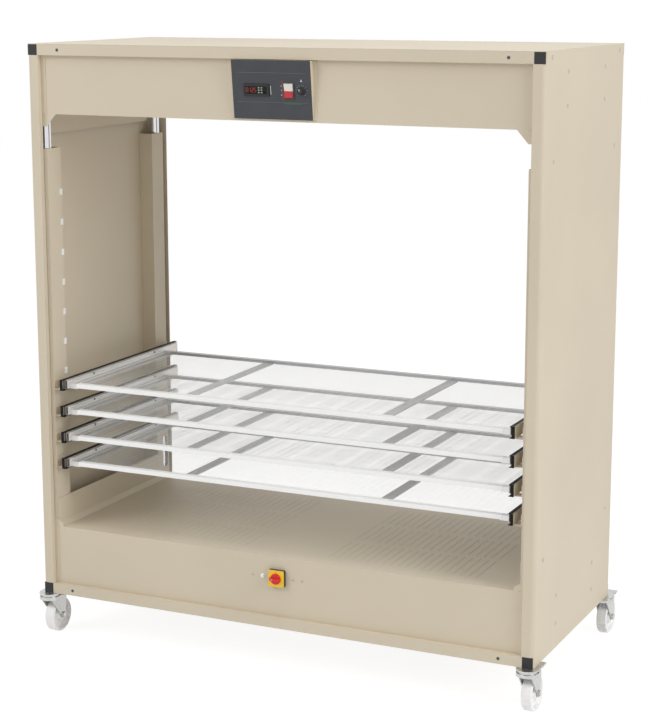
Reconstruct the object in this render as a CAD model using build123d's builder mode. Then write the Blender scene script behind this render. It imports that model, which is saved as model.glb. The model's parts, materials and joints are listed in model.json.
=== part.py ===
from build123d import *
import os
from math import atan2, cos, degrees, pi, sin

# Tray drying cabinet on castors.
# Millimetres, +Z up, +X to the right, +Y to the back.  The origin is on the floor, under the
# middle of the box around the whole machine.  The castors trail to the back, so the middle of
# the cabinet itself lies body_y from the origin.  Heights named *_up are above the cabinet's
# underside; heights named *_z are above the floor.

os.makedirs("parts", exist_ok=True)

# ---------------------------------------------------------------- cabinet
body_width = 1520.0
body_depth = 680.0
body_height = 1600.0
sheet = 1.5                    # painted steel sheet
gap = 0.3                      # between sheets that only lie beside each other
tube_side = 30.0               # square tube of the base and top rings
tube_wall = 2.0
cap_flange = 2.0               # plastic caps in the tube ends
cap_plug = 14.0
cap_fit = 0.2
post_face = 34.0               # width of the corner posts folded from the side panels
rear_post_face = 49.5          # the rear posts are wider and have no fold
post_return = 15.0             # fold at the inner edge of a front post
post_bend = 11.0               # outer radius of the posts' rounded edges

# ---------------------------------------------------------------- uprights and columns
upright_dia = 28.0
upright_wall = 1.5
upright_inset = 37.0           # upright axis behind the front plane
column_width = 44.0            # side panel to the column covers' inner face
column_depth = 67.0
column_below_apron = 98.0      # column tops under the apron
foot_slot_width = 30.0         # slots at the feet of the rear columns
foot_slot_height = 100.0
foot_slot_up = 235.0           # lower end of the slots
slot_below_top = 127.0         # uppermost hanging slot under the column tops
slot_pitch = 87.0
slot_count = 7
slot_height = 18.0
slot_reach = 11.0              # along the column's inner face and round its edge
liner_proud = 1.5
liner_fit = 0.2

# ---------------------------------------------------------------- upper box
panel_set_back = 15.0          # apron and lower panels behind the front plane
apron_height = 163.5           # up to the top ring
apron_return = 40.0
apron_strip = 15.0             # doubled strip at each end of the apron
ear_width = 44.0               # corner gussets
ear_foot = 13.0                # level lower edge of the gussets
ear_height = 35.0
wing_inset = 12.0              # ceiling wings short of the side panels
wing_clear = 6.0               # ceiling wings to the uprights
wing_drop = 60.0

# ---------------------------------------------------------------- lower box
lower_top_up = 203.0
lower_return = 38.0
lower_ear_width = 29.0         # lower gussets, with an upright inner edge
lower_ear_side = 9.0
lower_ear_height = 28.0
floor_skirt = 84.0             # sides of the floor, folded up in front of the columns
floor_bevel = 12.0             # inclined strip along the foot of the skirts
floor_slot_width = 4.0
floor_slot_length = 160.0
floor_slot_pitch_x = 23.0
floor_slot_pitch_y = 178.0
floor_margin_y = 55.0

# ---------------------------------------------------------------- fans and heaters
fan_x = 350.0
fan_frame = 230.0              # square mounting plate
fan_plate = 3.0
fan_height = 52.0
fan_bore = 206.0
fan_duct_wall = 3.0
fan_motor_dia = 76.0
fan_motor_height = 22.0
fan_strut = 9.0
fan_strut_height = 5.0
fan_shaft_dia = 8.0
rotor_dia = 198.0
rotor_hub_dia = 72.0
rotor_hub_height = 20.0
rotor_blades = 5
blade_chord = 42.0
blade_thickness = 2.5
blade_pitch = 28.0             # degrees
running_fit = 0.05             # radial clearance of every shaft in its bore
heater_length = 480.0
heater_bar_width = 38.0
heater_bar_height = 8.0
heater_up = 125.0              # middle of the bars
fin_width = 70.0
fin_height = 30.0
fin_thickness = 1.2
fin_pitch = 32.0
heater_leg = 3.0

# ---------------------------------------------------------------- slides and trays
tray_top_up = 628.0            # middle of the uppermost slide
tray_pitch = 77.5
tray_count = 4
slide_height = 32.0
slide_thickness = 17.0
slide_metal = 1.5
slide_clear = 0.3              # between the lips and webs of nested members
slide_lip_set_back = 4.0       # slide lips behind the inner member's face
mid_web_set_back = 8.5         # middle member's web behind the inner member's face
slide_length = 660.0
mid_length = 630.0
inner_length = 640.0
member_set_back = 15.0         # front ends of the moving members behind the outer ones
end_block = 4.0                # plastic stop block in the front of each outer member
bracket_width = 22.5           # column face to slide
bracket_depth = 30.0
bracket_height = 30.0
bracket_metal = 2.0
tray_front_back = 25.0         # tray's front bar behind the slides' front ends
tray_depth = 560.0
rail_drop = 12.0               # half the height of the tray's side angles
rail_flange = 26.0
rail_metal = 2.0
bar_depth = 18.0               # front and rear bars of the tray
bar_height = 12.5
rear_bar_height = 9.0
cross_bar_x = 303.0
cross_bar_width = 30.0
cross_bar_height = 4.0
net_thickness = 1.0
net_inset = 2.0                # net edge inside the middle of the frame bars

# ---------------------------------------------------------------- console
console_x = 3.75
console_half = 116.0
console_flange = 9.0           # flange beside the wedge, against the apron
console_metal = 2.0
console_rise = 6.5             # console above the apron's lower edge
console_height = 155.5
console_lean = 18.0            # top edge of the fascia in front of its bottom edge
console_toe = 2.0              # depth of the wedge at its bottom edge
fascia_thickness = 2.0
window_margin = 15.0           # apron window inside the console's outline
display_x = -44.25             # this and the next two from the console's middle
display_width = 76.0
display_height = 34.0
display_rim = 2.5              # bezel outside the cut-out
display_proud = 3.0
display_depth = 24.0
control_rise = -1.0            # controls' centre line above the fascia's middle
rocker_x = 50.75
rocker_width = 25.0
rocker_radius = 19.0
rocker_proud = 3.0
rocker_clear = 0.4
rocker_rim = 4.5
rocker_rim_proud = 1.6
rocker_back = 14.0
knob_x = 88.0
knob_dia = 21.0
knob_height = 15.0
knob_shaft_dia = 6.0
knob_shaft_length = 16.0

# ---------------------------------------------------------------- main switch and lamp
switch_x = 5.5
switch_up = 143.0
switch_side = 48.0
switch_base = 11.0
switch_plate = 2.0
switch_neck_dia = 22.0
switch_neck = 26.0
switch_knob_dia = 31.0
switch_knob_height = 5.0
switch_grip_width = 9.0
switch_grip_height = 7.0
switch_shaft_dia = 6.0
switch_shaft = 9.0
lamp_x = -41.5
lamp_dia = 13.0
lamp_lens_dia = 10.0
lamp_rim = 2.0
lamp_dome = 3.5
lamp_neck = 18.0

# ---------------------------------------------------------------- cable gland
gland_inset = 240.0            # gland to the cabinet's left side
gland_up = 95.0
gland_flats = 24.0
gland_hex = 6.0
gland_dome_dia = 20.0
gland_dome = 12.0
gland_bore = 9.0
gland_thread_dia = 16.0
gland_thread = 10.0

# ---------------------------------------------------------------- castors
castor_height = 130.0
castor_inset = 4.0             # kingpin behind the front plane
castor_plate_width = 62.0      # plate with a round nose about the kingpin
castor_plate_tail = 62.0       # kingpin to the plate's inner end
castor_plate_thickness = 4.0
plate_bolt_back = 46.0         # kingpin to the plate bolts
plate_bolt_head = 3.5
plate_bolt_dia = 11.0
race_dia = 54.0
race_height = 6.0
kingpin_dia = 12.0
kingpin_nut = 5.0
crown_dia = 62.0
crown_height = 9.0
crown_play = 0.3
trail = 40.0
wheel_dia = 100.0
wheel_width = 30.0
wheel_crown = 3.0              # bevel of the tread's edges
wheel_rim = 5.0
wheel_hub_dia = 36.0
wheel_web = 12.0
axle_dia = 12.0
axle_head_dia = 17.0
axle_head = 4.5
leg_metal = 3.0
leg_play = 1.5                 # wheel hub to fork leg
leg_top_width = 46.0
leg_bottom_width = 22.0
pedal_width = 38.0
pedal_length = 39.0
pedal_metal = 3.0
pedal_rise = 8.0
pedal_pin_dia = 6.0
pedal_pin_back = 11.0          # pedal pivot behind the axle
pedal_pin_up = 57.0            # pedal pivot above the axle
pedal_boss_dia = 12.0
pedal_travel = 9.0             # degrees

# ---------------------------------------------------------------- screws
screw_dia = 9.0
screw_proud = 1.0
rail_screw_inset = 98.0        # screws in the rails to the cabinet's sides

# ---------------------------------------------------------------- worked out from the above
half_width = body_width / 2
half_depth = body_depth / 2
wheel_radius = wheel_dia / 2
kingpin_y = half_depth - castor_inset
pedal_reach = trail + pedal_pin_back + pedal_length
rear_reach = kingpin_y + max(pedal_reach, trail + wheel_radius)
front_reach = kingpin_y + castor_plate_width / 2
body_y = (front_reach - rear_reach) / 2

base_z = castor_height
base_top_z = base_z + tube_side
roof_z = base_z + body_height
top_ring_z = roof_z - sheet - tube_side
panel_inner_x = half_width - sheet
tube_x = panel_inner_x - tube_side / 2
tube_inner_x = panel_inner_x - tube_side
tube_end_y = half_depth - cap_flange
rail_y = half_depth - tube_side / 2
post_inner_x = half_width - post_face
rear_post_x = half_width - rear_post_face
bay_x = post_inner_x - gap                 # half the clear width between the corner posts

apron_y = half_depth - panel_set_back      # face of the apron and of the lower panels
apron_z = top_ring_z - apron_height
console_bottom_z = apron_z + console_rise
console_top_z = console_bottom_z + console_height
lower_top_z = base_z + lower_top_up
floor_top_z = lower_top_z - sheet
pan_y = apron_y - sheet

column_face_x = panel_inner_x - column_width
deck_x = column_face_x - gap                # half the clear width between the columns
upright_x = column_face_x + sheet + gap + upright_dia / 2
upright_y = half_depth - upright_inset
wing_x = panel_inner_x - wing_inset
wing_y = upright_y - upright_dia / 2 - wing_clear
column_front_y = half_depth - post_return - sheet - gap
column_back_y = column_front_y - column_depth
column_top_z = apron_z - column_below_apron

slide_outer_x = column_face_x - bracket_width
slide_inner_x = slide_outer_x - slide_thickness
slide_front_y = slide_length / 2
tray_front_y = -slide_front_y + tray_front_back
tray_rear_y = tray_front_y + tray_depth
tray_heights = [base_z + tray_top_up - tray_pitch * n for n in range(tray_count)]

lean = degrees(atan2(console_lean, console_height))


def level(height):
    """Horizontal plane at a height above the floor, centred on the cabinet."""
    return Plane((0, body_y, height))


def facing_front(y):
    """Upright plane across the cabinet, y behind its middle, drawn as seen from the front."""
    return Plane((0, body_y + y, 0), x_dir=(1, 0, 0), z_dir=(0, -1, 0))


def facing_right(x):
    """Upright plane along the cabinet's depth, drawn with +Y to the right."""
    return Plane((x, body_y, 0), x_dir=(0, 1, 0), z_dir=(1, 0, 0))


mid_depth = Plane((0, body_y, 0), z_dir=(0, 1, 0))


def span(low, high):
    """Middle and length of a stretch, for rectangles drawn by their ends."""
    return (low + high) / 2, high - low


def box_sketch(x_low, x_high, y_low, y_high, mode=Mode.ADD):
    """Rectangle given by its edges, in the sketch that is open."""
    x_mid, x_size = span(x_low, x_high)
    y_mid, y_size = span(y_low, y_high)
    with Locations((x_mid, y_mid)):
        Rectangle(x_size, y_size, mode=mode)


# ================================================================ frame
def tube_ring(bottom_z):
    """Welded ring of square tubes: two along the depth, two rails between them."""
    mid_z = bottom_z + tube_side / 2
    bore = tube_side - 2 * tube_wall
    with BuildPart() as ring:
        with BuildSketch(facing_front(tube_end_y)):
            with Locations((-tube_x, mid_z), (tube_x, mid_z)):
                Rectangle(tube_side, tube_side)
        extrude(amount=2 * tube_end_y)
        with BuildSketch(facing_right(-tube_inner_x)):
            with Locations((-rail_y, mid_z), (rail_y, mid_z)):
                Rectangle(tube_side, tube_side)
        extrude(amount=2 * tube_inner_x)
        with BuildSketch(facing_front(tube_end_y)):
            with Locations((-tube_x, mid_z), (tube_x, mid_z)):
                Rectangle(bore, bore)
        extrude(amount=2 * tube_end_y, mode=Mode.SUBTRACT)
        with BuildSketch(facing_right(-tube_inner_x - tube_wall)):
            with Locations((-rail_y, mid_z), (rail_y, mid_z)):
                Rectangle(bore, bore)
        extrude(amount=2 * (tube_inner_x + tube_wall), mode=Mode.SUBTRACT)
    return ring.part


with BuildPart() as base_frame:
    add(tube_ring(base_z))
base_frame.part.label = "base_frame"
export_step(base_frame.part, "parts/base_frame.step")

with BuildPart() as top_frame:
    add(tube_ring(top_ring_z))
top_frame.part.label = "top_frame"
export_step(top_frame.part, "parts/top_frame.step")

with BuildPart() as tube_caps:
    cap_spots = [
        (x, z + tube_side / 2) for x in (-tube_x, tube_x) for z in (base_z, top_ring_z)
    ]
    with BuildSketch(facing_front(-tube_end_y)):
        with Locations(*cap_spots):
            Rectangle(tube_side, tube_side)
    extrude(amount=cap_flange, taper=12)
    with BuildSketch(facing_front(-tube_end_y + cap_plug)):
        with Locations(*cap_spots):
            Rectangle(tube_side - 2 * (tube_wall + cap_fit), tube_side - 2 * (tube_wall + cap_fit))
    extrude(amount=cap_plug)
    mirror(about=mid_depth)
tube_caps.part.label = "tube_caps"
export_step(tube_caps.part, "parts/tube_caps.step")

with BuildPart() as uprights:
    with BuildSketch(level(base_top_z)):
        with GridLocations(2 * upright_x, 2 * upright_y, 2, 2):
            Circle(upright_dia / 2)
            Circle(upright_dia / 2 - upright_wall, mode=Mode.SUBTRACT)
    extrude(amount=top_ring_z - base_top_z)
uprights.part.label = "uprights"
export_step(uprights.part, "parts/uprights.step")

# ================================================================ side panels
with BuildPart() as side_panel_right:
    with BuildSketch(level(base_z)) as panel_plan:
        box_sketch(post_inner_x, half_width, -half_depth, half_depth)
        box_sketch(rear_post_x, half_width, 0, half_depth)
        fillet(panel_plan.vertices().group_by(Axis.X)[-1], post_bend)
        with BuildSketch(mode=Mode.SUBTRACT) as panel_hollow:
            box_sketch(
                post_inner_x + sheet, panel_inner_x, -half_depth + sheet, half_depth - sheet
            )
            box_sketch(rear_post_x - 1, panel_inner_x, 0, half_depth - sheet)
            fillet(panel_hollow.vertices().group_by(Axis.X)[-1], post_bend - sheet)
        open_y = half_depth - post_return
        box_sketch(post_inner_x - 1, post_inner_x + 2 * sheet, -open_y, 0, Mode.SUBTRACT)
    extrude(amount=body_height)
    for ring_z in (base_z, top_ring_z):
        with BuildSketch(level(ring_z)):
            box_sketch(rear_post_x - 1, panel_inner_x, -half_depth - 1, half_depth + 1)
        extrude(amount=tube_side + sheet * (ring_z > base_z), mode=Mode.SUBTRACT)
side_panel_right.part.label = "side_panel_right"
export_step(side_panel_right.part, "parts/side_panel_right.step")

with BuildPart() as side_panel_left:
    mirror(side_panel_right.part, about=Plane.YZ)
side_panel_left.part.label = "side_panel_left"
export_step(side_panel_left.part, "parts/side_panel_left.step")

with BuildPart() as top_cover:
    with BuildSketch(level(roof_z - sheet)):
        Rectangle(2 * panel_inner_x, body_depth)
    extrude(amount=sheet)
top_cover.part.label = "top_cover"
export_step(top_cover.part, "parts/top_cover.step")

# ================================================================ column covers
slot_heights = [
    column_top_z - slot_below_top - slot_pitch * n for n in reversed(range(slot_count))
]

with BuildPart() as columns_right:
    with BuildSketch(level(base_top_z)):
        box_sketch(column_face_x, panel_inner_x, column_back_y, column_front_y)
        box_sketch(
            column_face_x + sheet, panel_inner_x + 1,
            column_back_y + sheet, column_front_y - sheet, Mode.SUBTRACT,
        )
    extrude(amount=column_top_z - base_top_z)
    mirror(about=mid_depth)
    slot_reach_y = column_back_y + slot_reach
    with BuildSketch(level(slot_heights[0] - slot_height / 2)):
        box_sketch(
            column_face_x - 1, column_face_x + slot_reach, -slot_reach_y, -column_back_y + 1
        )
    slot_cutter = extrude(amount=slot_height, mode=Mode.PRIVATE)
    for slot_z in slot_heights:
        add(slot_cutter.moved(Location((0, 0, slot_z - slot_heights[0]))), mode=Mode.SUBTRACT)
    with BuildSketch(facing_right(column_face_x - 1)):
        with Locations((upright_y, base_z + foot_slot_up + foot_slot_height / 2)):
            SlotOverall(foot_slot_height, foot_slot_width, rotation=90)
    extrude(amount=sheet + 2, mode=Mode.SUBTRACT)
columns_right.part.label = "columns_right"
export_step(columns_right.part, "parts/columns_right.step")

with BuildPart() as columns_left:
    mirror(columns_right.part, about=Plane.YZ)
columns_left.part.label = "columns_left"
export_step(columns_left.part, "parts/columns_left.step")

with BuildPart() as slot_liners:
    liner_height = slot_height - 2 * liner_fit
    for slot_z in slot_heights:
        with BuildSketch(level(slot_z - liner_height / 2)):
            box_sketch(
                column_face_x - liner_proud, column_face_x + slot_reach - liner_fit,
                -slot_reach_y + liner_fit, -column_back_y + liner_proud,
            )
            box_sketch(
                column_face_x + 2 * sheet, panel_inner_x,
                -column_front_y, -column_back_y - 2 * sheet, Mode.SUBTRACT,
            )
        extrude(amount=liner_height)
    mirror(about=Plane.YZ)
slot_liners.part.label = "slot_liners"
export_step(slot_liners.part, "parts/slot_liners.step")

# ================================================================ upper box
with BuildPart() as front_apron:
    with BuildSketch(facing_front(-apron_y + sheet)):
        box_sketch(-bay_x, bay_x, apron_z, top_ring_z)
        with BuildLine():
            Polyline(
                (bay_x - ear_width, apron_z), (bay_x, apron_z), (bay_x, apron_z - ear_height),
                (bay_x - ear_foot, apron_z - ear_height), close=True,
            )
        make_face()
        mirror(about=Plane.YZ)
        box_sketch(
            console_x - console_half + window_margin, console_x + console_half - window_margin,
            console_bottom_z + window_margin, console_top_z - window_margin, Mode.SUBTRACT,
        )
    extrude(amount=sheet)
    with BuildSketch(facing_front(-apron_y)):
        box_sketch(bay_x - apron_strip, bay_x, apron_z, top_ring_z)
        mirror(about=Plane.YZ)
    extrude(amount=sheet)
    with BuildSketch(level(apron_z)):
        box_sketch(-deck_x, deck_x, -apron_y, -apron_y + apron_return)
    extrude(amount=sheet)
front_apron.part.label = "front_apron"
export_step(front_apron.part, "parts/front_apron.step")

with BuildPart() as ceiling_panel:
    with BuildSketch(level(apron_z)):
        box_sketch(-deck_x, deck_x, -apron_y + apron_return + gap, apron_y)
    extrude(amount=sheet)
    with BuildSketch(facing_front(apron_y)):
        box_sketch(-bay_x, bay_x, apron_z, top_ring_z)
    extrude(amount=sheet)
    with BuildSketch(level(apron_z)):
        box_sketch(-wing_x, wing_x, -wing_y, wing_y)
    extrude(amount=sheet)
    with BuildSketch(level(apron_z - wing_drop)):
        box_sketch(wing_x - sheet, wing_x, -wing_y, wing_y)
        mirror(about=Plane.YZ)
    extrude(amount=wing_drop)
ceiling_panel.part.label = "ceiling_panel"
export_step(ceiling_panel.part, "parts/ceiling_panel.step")

# ================================================================ lower box
switch_z = base_z + switch_up

with BuildPart() as lower_front_panel:
    with BuildSketch(facing_front(-apron_y + sheet)):
        box_sketch(-bay_x, bay_x, base_top_z, lower_top_z)
        with Locations((switch_x, switch_z)):
            Circle(switch_neck_dia / 2 + gap, mode=Mode.SUBTRACT)
        with Locations((lamp_x, switch_z)):
            Circle(lamp_lens_dia / 2 + gap, mode=Mode.SUBTRACT)
    extrude(amount=sheet)
    with BuildSketch(facing_front(-apron_y)):
        box_sketch(bay_x - apron_strip, bay_x, base_top_z, lower_top_z)
        mirror(about=Plane.YZ)
    extrude(amount=sheet)
    return_x = deck_x - floor_bevel - sheet - gap
    with BuildSketch(level(floor_top_z)):
        box_sketch(-return_x, return_x, -apron_y, -apron_y + lower_return)
    extrude(amount=sheet)
    with BuildSketch(facing_front(-apron_y + sheet)):
        with BuildLine():
            Polyline(
                (bay_x - lower_ear_width, floor_top_z), (bay_x, floor_top_z),
                (bay_x, lower_top_z + lower_ear_height),
                (bay_x - lower_ear_width, lower_top_z + lower_ear_side), close=True,
            )
        make_face()
        mirror(about=Plane.YZ)
    extrude(amount=sheet)
lower_front_panel.part.label = "lower_front_panel"
export_step(lower_front_panel.part, "parts/lower_front_panel.step")

floor_columns = int(heater_length // floor_slot_pitch_x)
floor_rows = int((2 * (pan_y - floor_margin_y)) // floor_slot_pitch_y)

with BuildPart() as perforated_floor:
    with BuildSketch(level(floor_top_z - sheet)):
        Rectangle(2 * deck_x, 2 * (pan_y - gap))
        with Locations((-fan_x, 0), (fan_x, 0)):
            with GridLocations(floor_slot_pitch_x, floor_slot_pitch_y, floor_columns, floor_rows):
                Rectangle(floor_slot_width, floor_slot_length, mode=Mode.SUBTRACT)
    extrude(amount=sheet)
    with BuildSketch(facing_right(deck_x - sheet)):
        box_sketch(gap - pan_y, pan_y - gap, floor_top_z, floor_top_z + floor_skirt)
        with Locations((upright_y, base_z + foot_slot_up + foot_slot_height / 2)):
            SlotOverall(foot_slot_height, foot_slot_width, rotation=90, mode=Mode.SUBTRACT)
    extrude(amount=sheet)
    with BuildSketch(facing_front(pan_y - gap)):
        with BuildLine():
            Polyline(
                (deck_x - sheet - floor_bevel, floor_top_z), (deck_x - sheet, floor_top_z),
                (deck_x - sheet, floor_top_z + floor_bevel), close=True,
            )
        make_face()
    extrude(amount=2 * (pan_y - gap))
    mirror(about=Plane.YZ)
perforated_floor.part.label = "perforated_floor"
export_step(perforated_floor.part, "parts/perforated_floor.step")

gland_x = gland_inset - half_width
gland_z = base_z + gland_up
pan_top_z = base_top_z + sheet

with BuildPart() as base_pan:
    with BuildSketch(level(base_top_z)):
        Rectangle(2 * deck_x, 2 * pan_y)
        with Locations((-fan_x, 0), (fan_x, 0)):
            Circle(fan_bore / 2, mode=Mode.SUBTRACT)
    extrude(amount=sheet)
    with BuildSketch(facing_front(apron_y)):
        box_sketch(-bay_x, bay_x, base_top_z, lower_top_z)
        with Locations((gland_x, gland_z)):
            Circle(gland_thread_dia / 2 + gap, mode=Mode.SUBTRACT)
    extrude(amount=sheet)
base_pan.part.label = "base_pan"
export_step(base_pan.part, "parts/base_pan.step")

with BuildPart() as cable_gland:
    with BuildSketch(facing_front(apron_y)):
        with Locations((gland_x, gland_z)):
            Circle(gland_thread_dia / 2)
    extrude(amount=sheet + gland_thread)
    with BuildSketch(facing_front(apron_y + gland_hex)):
        with Locations((gland_x, gland_z)):
            RegularPolygon(gland_flats / 2, 6, major_radius=False)
    extrude(amount=gland_hex)
    with BuildSketch(facing_front(apron_y + gland_hex)):
        with Locations((gland_x, gland_z)):
            Circle(gland_dome_dia / 2)
    extrude(amount=-gland_dome, taper=10)
    with BuildSketch(facing_front(apron_y + gland_hex + gland_dome)):
        with Locations((gland_x, gland_z)):
            Circle(gland_bore / 2)
    extrude(amount=gland_dome + gland_hex + sheet + gland_thread, mode=Mode.SUBTRACT)
cable_gland.part.label = "cable_gland"
export_step(cable_gland.part, "parts/cable_gland.step")

# ================================================================ fans and heaters
fan_top_z = pan_top_z + fan_height
motor_top_z = pan_top_z + fan_motor_height
rotor_z = motor_top_z + 2

with BuildPart() as fan_housings:
    with BuildSketch(level(pan_top_z)):
        with Locations((-fan_x, 0), (fan_x, 0)):
            RectangleRounded(fan_frame, fan_frame, fan_strut)
            Circle(fan_bore / 2, mode=Mode.SUBTRACT)
    extrude(amount=fan_plate)
    with BuildSketch(level(pan_top_z)):
        with Locations((-fan_x, 0), (fan_x, 0)):
            Circle(fan_bore / 2 + fan_duct_wall)
            Circle(fan_bore / 2, mode=Mode.SUBTRACT)
    extrude(amount=fan_height)
    with BuildSketch(level(pan_top_z)):
        with Locations((-fan_x, 0), (fan_x, 0)):
            Circle(fan_motor_dia / 2)
    extrude(amount=fan_motor_height)
    with BuildSketch(level(pan_top_z)):
        with Locations((-fan_x, 0), (fan_x, 0)):
            Rectangle(fan_bore + fan_strut, fan_strut)
            Rectangle(fan_strut, fan_bore + fan_strut)
    extrude(amount=fan_strut_height)
    with BuildSketch(level(pan_top_z)):
        with Locations((-fan_x, 0), (fan_x, 0)):
            Circle(fan_shaft_dia / 2)
    extrude(amount=fan_motor_height + rotor_hub_height)
fan_housings.part.label = "fan_housings"
export_step(fan_housings.part, "parts/fan_housings.step")

blade_root = rotor_hub_dia / 2 - blade_thickness
blade_planes = [
    Plane(
        (
            fan_x + blade_root * cos(2 * pi * n / rotor_blades),
            body_y + blade_root * sin(2 * pi * n / rotor_blades),
            rotor_z + rotor_hub_height / 2,
        ),
        x_dir=(-sin(2 * pi * n / rotor_blades), cos(2 * pi * n / rotor_blades), 0),
        z_dir=(cos(2 * pi * n / rotor_blades), sin(2 * pi * n / rotor_blades), 0),
    )
    for n in range(rotor_blades)
]

with BuildPart() as fan_rotor_right:
    with BuildSketch(level(rotor_z)):
        with Locations((fan_x, 0)):
            Circle(rotor_hub_dia / 2)
            Circle(fan_shaft_dia / 2 + running_fit, mode=Mode.SUBTRACT)
    extrude(amount=rotor_hub_height)
    with BuildSketch(*blade_planes):
        Rectangle(blade_chord, blade_thickness, rotation=blade_pitch)
    extrude(amount=rotor_dia / 2 - blade_root)
fan_rotor_right.part.label = "fan_rotor_right"
export_step(fan_rotor_right.part, "parts/fan_rotor_right.step")

with BuildPart() as fan_rotor_left:
    mirror(fan_rotor_right.part, about=Plane.YZ)
fan_rotor_left.part.label = "fan_rotor_left"
export_step(fan_rotor_left.part, "parts/fan_rotor_left.step")

heater_z = base_z + heater_up
fin_count = int((heater_length - 2 * fin_pitch) // fin_pitch) + 1

with BuildPart() as heaters:
    with BuildSketch(facing_right(fan_x - heater_length / 2)):
        with Locations((0, heater_z)):
            Rectangle(heater_bar_width, heater_bar_height)
    extrude(amount=heater_length)
    with BuildSketch(facing_right(fan_x - fin_pitch * (fin_count - 1) / 2 - fin_thickness / 2)):
        with Locations((0, heater_z)):
            Rectangle(fin_width, fin_height)
    fin = extrude(amount=fin_thickness, mode=Mode.PRIVATE)
    for n in range(fin_count):
        add(fin.moved(Location((fin_pitch * n, 0, 0))))
    for leg_x in (fan_x - heater_length / 2 - heater_leg, fan_x + heater_length / 2):
        with BuildSketch(facing_right(leg_x)):
            box_sketch(
                -heater_bar_width / 2, heater_bar_width / 2,
                pan_top_z, heater_z + heater_bar_height / 2,
            )
        extrude(amount=heater_leg)
    mirror(about=Plane.YZ)
heaters.part.label = "heaters"
export_step(heaters.part, "parts/heaters.step")

# ================================================================ slides
# Section of a right-hand slide, drawn across the cabinet: three nested channels.
lip_x = slide_inner_x + slide_lip_set_back
mid_web_x = slide_inner_x + mid_web_set_back
outer_half = slide_height / 2
mid_half = outer_half - slide_metal - slide_clear
inner_half = mid_half - slide_metal - slide_clear
member_front_y = -slide_front_y + member_set_back


def slide_channel(web_low, web_high, lip_low, lip_high, half, front, length, height):
    """A pair of channels, right and left: a web and two lips, running back from the front end."""
    with BuildPart() as channel:
        with BuildSketch(facing_front(front + length)):
            box_sketch(web_low, web_high, height - half, height + half)
            box_sketch(lip_low, lip_high, height + half - slide_metal, height + half)
            box_sketch(lip_low, lip_high, height - half, height - half + slide_metal)
            mirror(about=Plane.YZ)
        extrude(amount=length)
    return channel.part


with BuildPart() as slide_outers:
    for tray_z in tray_heights:
        add(slide_channel(
            slide_outer_x - slide_metal, slide_outer_x, lip_x, slide_outer_x,
            outer_half, -slide_front_y, slide_length, tray_z,
        ))
        with BuildSketch(facing_front(-slide_front_y + end_block)):
            box_sketch(
                mid_web_x + slide_metal + slide_clear, slide_outer_x,
                tray_z - outer_half, tray_z + outer_half,
            )
            mirror(about=Plane.YZ)
        extrude(amount=end_block)
slide_outers.part.label = "slide_outers"
export_step(slide_outers.part, "parts/slide_outers.step")

with BuildPart() as slide_brackets:
    for tray_z in tray_heights:
        bracket_z = tray_z - bracket_height / 2
        with BuildSketch(facing_front(-column_front_y + bracket_depth)):
            box_sketch(slide_outer_x, column_face_x, bracket_z, bracket_z + bracket_height)
            box_sketch(
                slide_outer_x + bracket_metal, column_face_x - bracket_metal,
                bracket_z + bracket_metal, bracket_z + bracket_height + 1, Mode.SUBTRACT,
            )
        extrude(amount=bracket_depth)
    mirror(about=mid_depth)
    mirror(about=Plane.YZ)
slide_brackets.part.label = "slide_brackets"
export_step(slide_brackets.part, "parts/slide_brackets.step")

# ================================================================ trays
rail_x = slide_inner_x                     # outer face of the tray's side angles
bar_x = rail_x - rail_metal                # ends of the front and rear bars
cross_top = rail_metal - rail_drop + cross_bar_height

for number, tray_z in enumerate(tray_heights, start=1):
    with BuildPart() as slide_mid:
        add(slide_channel(
            mid_web_x, mid_web_x + slide_metal, lip_x + slide_metal, mid_web_x,
            mid_half, member_front_y, mid_length, tray_z,
        ))
    slide_mid.part.label = f"slide_mid_{number}"
    export_step(slide_mid.part, f"parts/slide_mid_{number}.step")

    with BuildPart() as slide_inner:
        add(slide_channel(
            slide_inner_x, slide_inner_x + slide_metal,
            slide_inner_x, mid_web_x - slide_clear,
            inner_half, member_front_y, inner_length, tray_z,
        ))
    slide_inner.part.label = f"slide_inner_{number}"
    export_step(slide_inner.part, f"parts/slide_inner_{number}.step")

    shelf_z = tray_z - rail_drop
    with BuildPart() as tray_frame:
        with BuildSketch(facing_front(tray_rear_y)):
            box_sketch(rail_x - rail_metal, rail_x, shelf_z, tray_z + rail_drop)
            box_sketch(rail_x - rail_flange, rail_x, shelf_z, shelf_z + rail_metal)
            mirror(about=Plane.YZ)
        extrude(amount=tray_depth)
        with BuildSketch(level(shelf_z + rail_metal)):
            box_sketch(-bar_x, bar_x, tray_front_y, tray_front_y + bar_depth)
        extrude(amount=bar_height)
        with BuildSketch(level(shelf_z + rail_metal + (bar_height - rear_bar_height) / 2)):
            box_sketch(-bar_x, bar_x, tray_rear_y - bar_depth, tray_rear_y)
        extrude(amount=rear_bar_height)
        with BuildSketch(level(shelf_z + rail_metal)):
            for cross_x in (-cross_bar_x, cross_bar_x):
                box_sketch(
                    cross_x - cross_bar_width / 2, cross_x + cross_bar_width / 2,
                    tray_front_y + bar_depth, tray_rear_y - bar_depth,
                )
        extrude(amount=cross_bar_height)
    tray_frame.part.label = f"tray_frame_{number}"
    export_step(tray_frame.part, f"parts/tray_frame_{number}.step")

    with BuildPart() as tray_net:
        with BuildSketch(level(tray_z + cross_top)):
            box_sketch(
                -bar_x + net_inset, bar_x - net_inset,
                tray_front_y + bar_depth + gap, tray_rear_y - bar_depth - gap,
            )
        extrude(amount=net_thickness)
    tray_net.part.label = f"tray_net_{number}"
    export_step(tray_net.part, f"parts/tray_net_{number}.step")

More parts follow.
